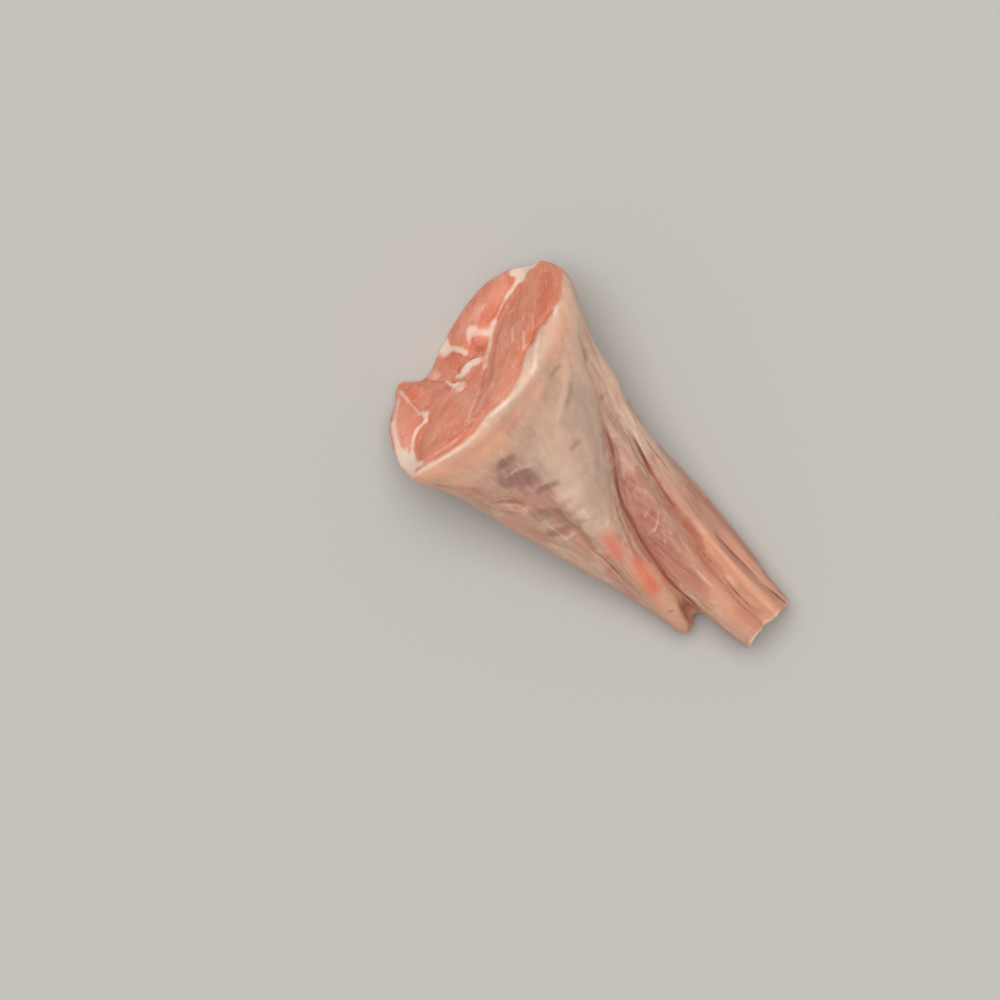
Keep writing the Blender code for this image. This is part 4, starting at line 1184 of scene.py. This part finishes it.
# Silverskin over fat: warm patches and bands, pale and dark streaks, then wrinkles and glints.
silverskin = layered(
    linear(212, 170, 148),
    (linear(204, 168, 145), rise(broad, 0.35, 0.65)),
    (linear(208, 151, 128), rise(bands, 0.46, 0.7) * 0.6),
    (linear(228, 198, 177), rise(streaks, 0.5, 0.75) * 0.48),
    (linear(226, 194, 172), rise(patchy, 0.52, 0.68) * 0.35),
    (linear(180, 144, 128), rise(wisps, 0.5, 0.68) * 0.62),
    (linear(180, 136, 116), rise(threads, 0.52, 0.76) * 0.32),
    (linear(160, 116, 98), wrinkles * rise(patchy, 0.45, 0.65) * (0.12 + fan_share * 0.3)),
    (linear(236, 212, 194), glints * rise(broad, 0.4, 0.6) * 0.15),
)

# The straps are darker and more orange, with strands of their own.
strap_share = rise(place_x, *STRAP_COLOUR_START) * (1 - fan_share)
straps = layered(
    silverskin,
    (linear(198, 141, 117), strap_share * (0.55 + streaks * 0.5)),
    (linear(182, 118, 96), rise(strap_strands, 0.54, 0.72) * strap_share * 0.5),
    (linear(236, 196, 172), rise(1 - strap_strands, 0.54, 0.72) * strap_share * 0.3),
)

# What was painted on the skin, from the wide soft stains to the painted shade in the grooves and
# hollows; some marks hold painted shade, some painted light and some painted highlights.
side_muscle = lay_over(linear(190, 124, 106), linear(170, 112, 102), rise(bands, 0.3, 0.7))
under_muscle = rise(patchy + painted("side_muscle") * 0.45, 0.55, 0.85) * (1 - painted("upper"))
seam = painted("seam") + (edge_breaker - 0.5) * rise(painted("seam"), 0, 0.2) * 0.5
mauve_and_shade = lay_over(linear(134, 93, 85), linear(150, 107, 97), rise(streaks, 0.35, 0.7))
strap_muscle = lay_over(linear(168, 98, 82), linear(192, 130, 112), rise(streaks, 0.35, 0.7))
sheath = layered(
    straps,
    (linear(236, 174, 142), stain("peach", patchy, 0.95)),
    (linear(184, 158, 140), stain("grey", streaks, 0.85)),
    (side_muscle, under_muscle * 0.75),
    (side_muscle, stain("side_muscle", streaks, 0.75)),
    # pink muscle, with painted shade and a reddish reflection on the low edge
    (linear(184, 120, 102), stain("pink_and_shade", wisps, 0.9)),
    (linear(226, 196, 176), rise(seam, 0.08, 0.5) * (0.3 + streaks * 0.6)),
    # mauve muscle under the skin, and painted shade
    (mauve_and_shade, painted("mauve_and_shade") * (0.55 + wisps * 0.8)),
    (strap_muscle, stain("muscle", wisps, 0.95)),
    (linear(226, 164, 132), stain("orange", streaks, 0.85)),
    (linear(198, 116, 98), stain("red", streaks, 0.9)),
    # brown stain, with painted shade in the grooves and the hollow
    (linear(168, 86, 58), stain("brown_and_shade", streaks, 0.9)),
    (linear(222, 104, 76), stain("blood", wisps, 0.9)),
    # creamy fat, and painted light along the high side's edge
    (linear(228, 194, 171), stain("cream_and_lit_edge", wisps, 0.7)),
    # white fat and painted highlights
    (linear(238, 217, 200), broken("white_and_highlight", edge_breaker, 0.8) * 0.8),
    # painted shade in the dimples and slits
    (linear(138, 90, 74), stain("dimple_shade", fine, 0.75)),
    # painted shade along the bottoms of the grooves
    (linear(102, 38, 26), rise(painted("groove_shade"), 0.34, 0.66) * 0.92),
    # painted shade in the skin's hollows
    (linear(184, 120, 98), rise(painted("hollow"), 0.25, 1) * 0.35),
)

# Cut muscle in bundles and fibres, then its deep red places with a line of painted shade, its pale
# places with some painted light, marbling, threads and seams, and last painted shade in hollows.
cut_fat = painted("cut_fat")
fat_edge = cut_fat + ((edge_breaker - 0.5) * 0.6 + (patchy - 0.5) * 0.4) * rise(cut_fat, 0, 0.3)
marbling = rise(cut_flecks, 0.58, 0.7) * rise(patchy, 0.3, 0.6)
# Painted shade in the cut's hollows, except where fat lies in them.
hollow_shade_on_cut = rise(painted("hollow"), 0.3, 1) * (1 - cut_fat)
meat = layered(
    linear(219, 128, 100),
    (linear(226, 145, 118), rise(cut_bundles, 0.35, 0.65)),
    (linear(234, 166, 140), rise(cut_fibres, 0.5, 0.72) * 0.4),
    (linear(200, 104, 76), rise(cut_threads, 0.5, 0.72) * 0.45),
    # deep red muscle, and a line of painted shade
    (linear(208, 92, 60), stain("cut_red_and_shade", cut_bundles, 0.85)),
    # pale meat, and painted light in one valley
    (linear(232, 178, 158), stain("cut_pale_and_light", patchy, 0.85)),
    (linear(240, 190, 162), marbling * 0.6),
    (linear(240, 198, 174), broken("cut_thread", fine, 1.2) * 0.65),
    (linear(232, 172, 150), rise(fat_edge, 0.05, 0.5) * 0.8),
    (linear(240, 213, 195), rise(fat_edge, 0.3, 0.95) * 0.95),
    (linear(176, 84, 60), hollow_shade_on_cut * 0.45),
)

# The sawn ends: creamy tendon round islands of muscle.
sawn_edge = (edge_breaker - 0.5) * 0.5
sawn_muscle = lay_over(linear(200, 122, 102), linear(214, 146, 124), rise(fine, 0.4, 0.6))
sawn_end = layered(
    linear(226, 184, 160),
    (linear(234, 204, 182), rise(patchy, 0.35, 0.65)),
    (linear(212, 158, 136), rise(fine, 0.55, 0.7) * 0.5),
    (sawn_muscle, rise(painted("sawn_muscle") + sawn_edge, 0.0, 1.0) * 0.7),
)

# All of it, each where it belongs, with the wet shine and fine relief of the surface.
on_cut = rise(painted("inside_rim") + (edge_breaker - 0.5) * 2.4, -0.8, 0.6)
on_sawn_end = rise(painted("sawn") + sawn_edge, 0.45, 0.9)
colour = layered(sheath, (meat, on_cut), (sawn_end, on_sawn_end))
roughness = 0.5 + (fine - 0.5) * 0.22 + (patchy - 0.5) * 0.12 + on_cut * 0.05
wet = (rise(patchy, 0.45, 0.7) * 0.22 + 0.1) * (1 - on_cut * 0.6)
cut_relief = (cut_threads * 0.5 + cut_fibres) * on_cut
skin_relief = (threads * 0.4 + streaks + fine * 0.5) * (1 - on_cut)
relief = Shade.node(
    "ShaderNodeBump",
    {},
    {"Strength": 0.6, "Distance": 0.0002, "Height": cut_relief + skin_relief},
)
surface = Shade.node(
    "ShaderNodeBsdfPrincipled",
    {"subsurface_method": "RANDOM_WALK"},
    {
        "Base Color": colour,
        "Roughness": roughness,
        "Subsurface Weight": 0.22,
        "Subsurface Radius": (1.0, 0.42, 0.26),
        "Subsurface Scale": 0.0028,
        "Specular IOR Level": 0.42,
        "Coat Weight": wet,
        "Coat Roughness": 0.28,
        "Normal": relief,
    },
)
Shade.node("ShaderNodeOutputMaterial", {}, {"Surface": surface})
shank.data.materials.clear()
shank.data.materials.append(raw_meat)
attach(shank, "root")
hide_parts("shank")

# THE TABLE
# The shank lies on a seamless sheet of matt paper, a pale warm grey with a fine speckle. It is
# the stage and no part of the shank.
TABLE_HALF_SIZE = 4.0
SPECKLE_SIZE = 0.0012

table_mesh = bpy.data.meshes.new("table")
bm = bmesh.new()
bmesh.ops.create_grid(bm, x_segments=1, y_segments=1, size=TABLE_HALF_SIZE)
bm.to_mesh(table_mesh)
bm.free()
table = bpy.data.objects.new("table", table_mesh)
bpy.context.collection.objects.link(table)
table_paint = bpy.data.materials.new("table_paint")
table_paint.use_nodes = True
table_paint.node_tree.nodes.clear()
Shade.tree = table_paint.node_tree
table_place = Shade.node("ShaderNodeTexCoord", output="Object")
speckle = clouds(table_place, SPECKLE_SIZE, 3)
table_colour = lay_over(linear(185, 183, 179), linear(192, 190, 186), speckle)
table_surface = Shade.node(
    "ShaderNodeBsdfPrincipled",
    {},
    {"Base Color": table_colour, "Roughness": 0.9, "Specular IOR Level": 0.15},
)
Shade.node("ShaderNodeOutputMaterial", {}, {"Surface": table_surface})
table_mesh.materials.append(table_paint)

# THE LIGHT AND THE CAMERA
# One very large soft light from above, a little towards the cut end, and an even room give soft
# pale shadows. The camera looks straight down, turned so that the shank lies as in the photo.
KEY_STRENGTH = 2.2
KEY_SOFTNESS = 50
KEY_COLOUR = (1.0, 0.985, 0.96)
KEY_DIRECTION = Vector((0.2, -0.04, -0.97))
ROOM_STRENGTH = 0.41
ROOM_COLOUR = (1.0, 0.99, 0.97, 1)
LENS = 200.0
PICTURE_TURN = 43.4

key = bpy.data.lights.new("key", "SUN")
key.energy = KEY_STRENGTH
key.angle = math.radians(KEY_SOFTNESS)
key.color = KEY_COLOUR
key_lamp = bpy.data.objects.new("key", key)
key_lamp.rotation_mode = "QUATERNION"
key_lamp.rotation_quaternion = KEY_DIRECTION.to_track_quat("-Z", "Y")
bpy.context.collection.objects.link(key_lamp)

room = bpy.data.worlds.new("room")
room.use_nodes = True
background = room.node_tree.nodes["Background"]
background.inputs["Color"].default_value = ROOM_COLOUR
background.inputs["Strength"].default_value = ROOM_STRENGTH
bpy.context.scene.world = room

camera = bpy.data.cameras.new("camera")
camera.lens = LENS
above = bpy.data.objects.new("camera", camera)
above.location = Vector((VIEWPOINT - STROKE_ORIGIN) * MM)
above.rotation_euler = (0, 0, math.radians(PICTURE_TURN))
bpy.context.collection.objects.link(above)
bpy.context.scene.camera = above
bpy.context.scene.view_settings.view_transform = "Standard"
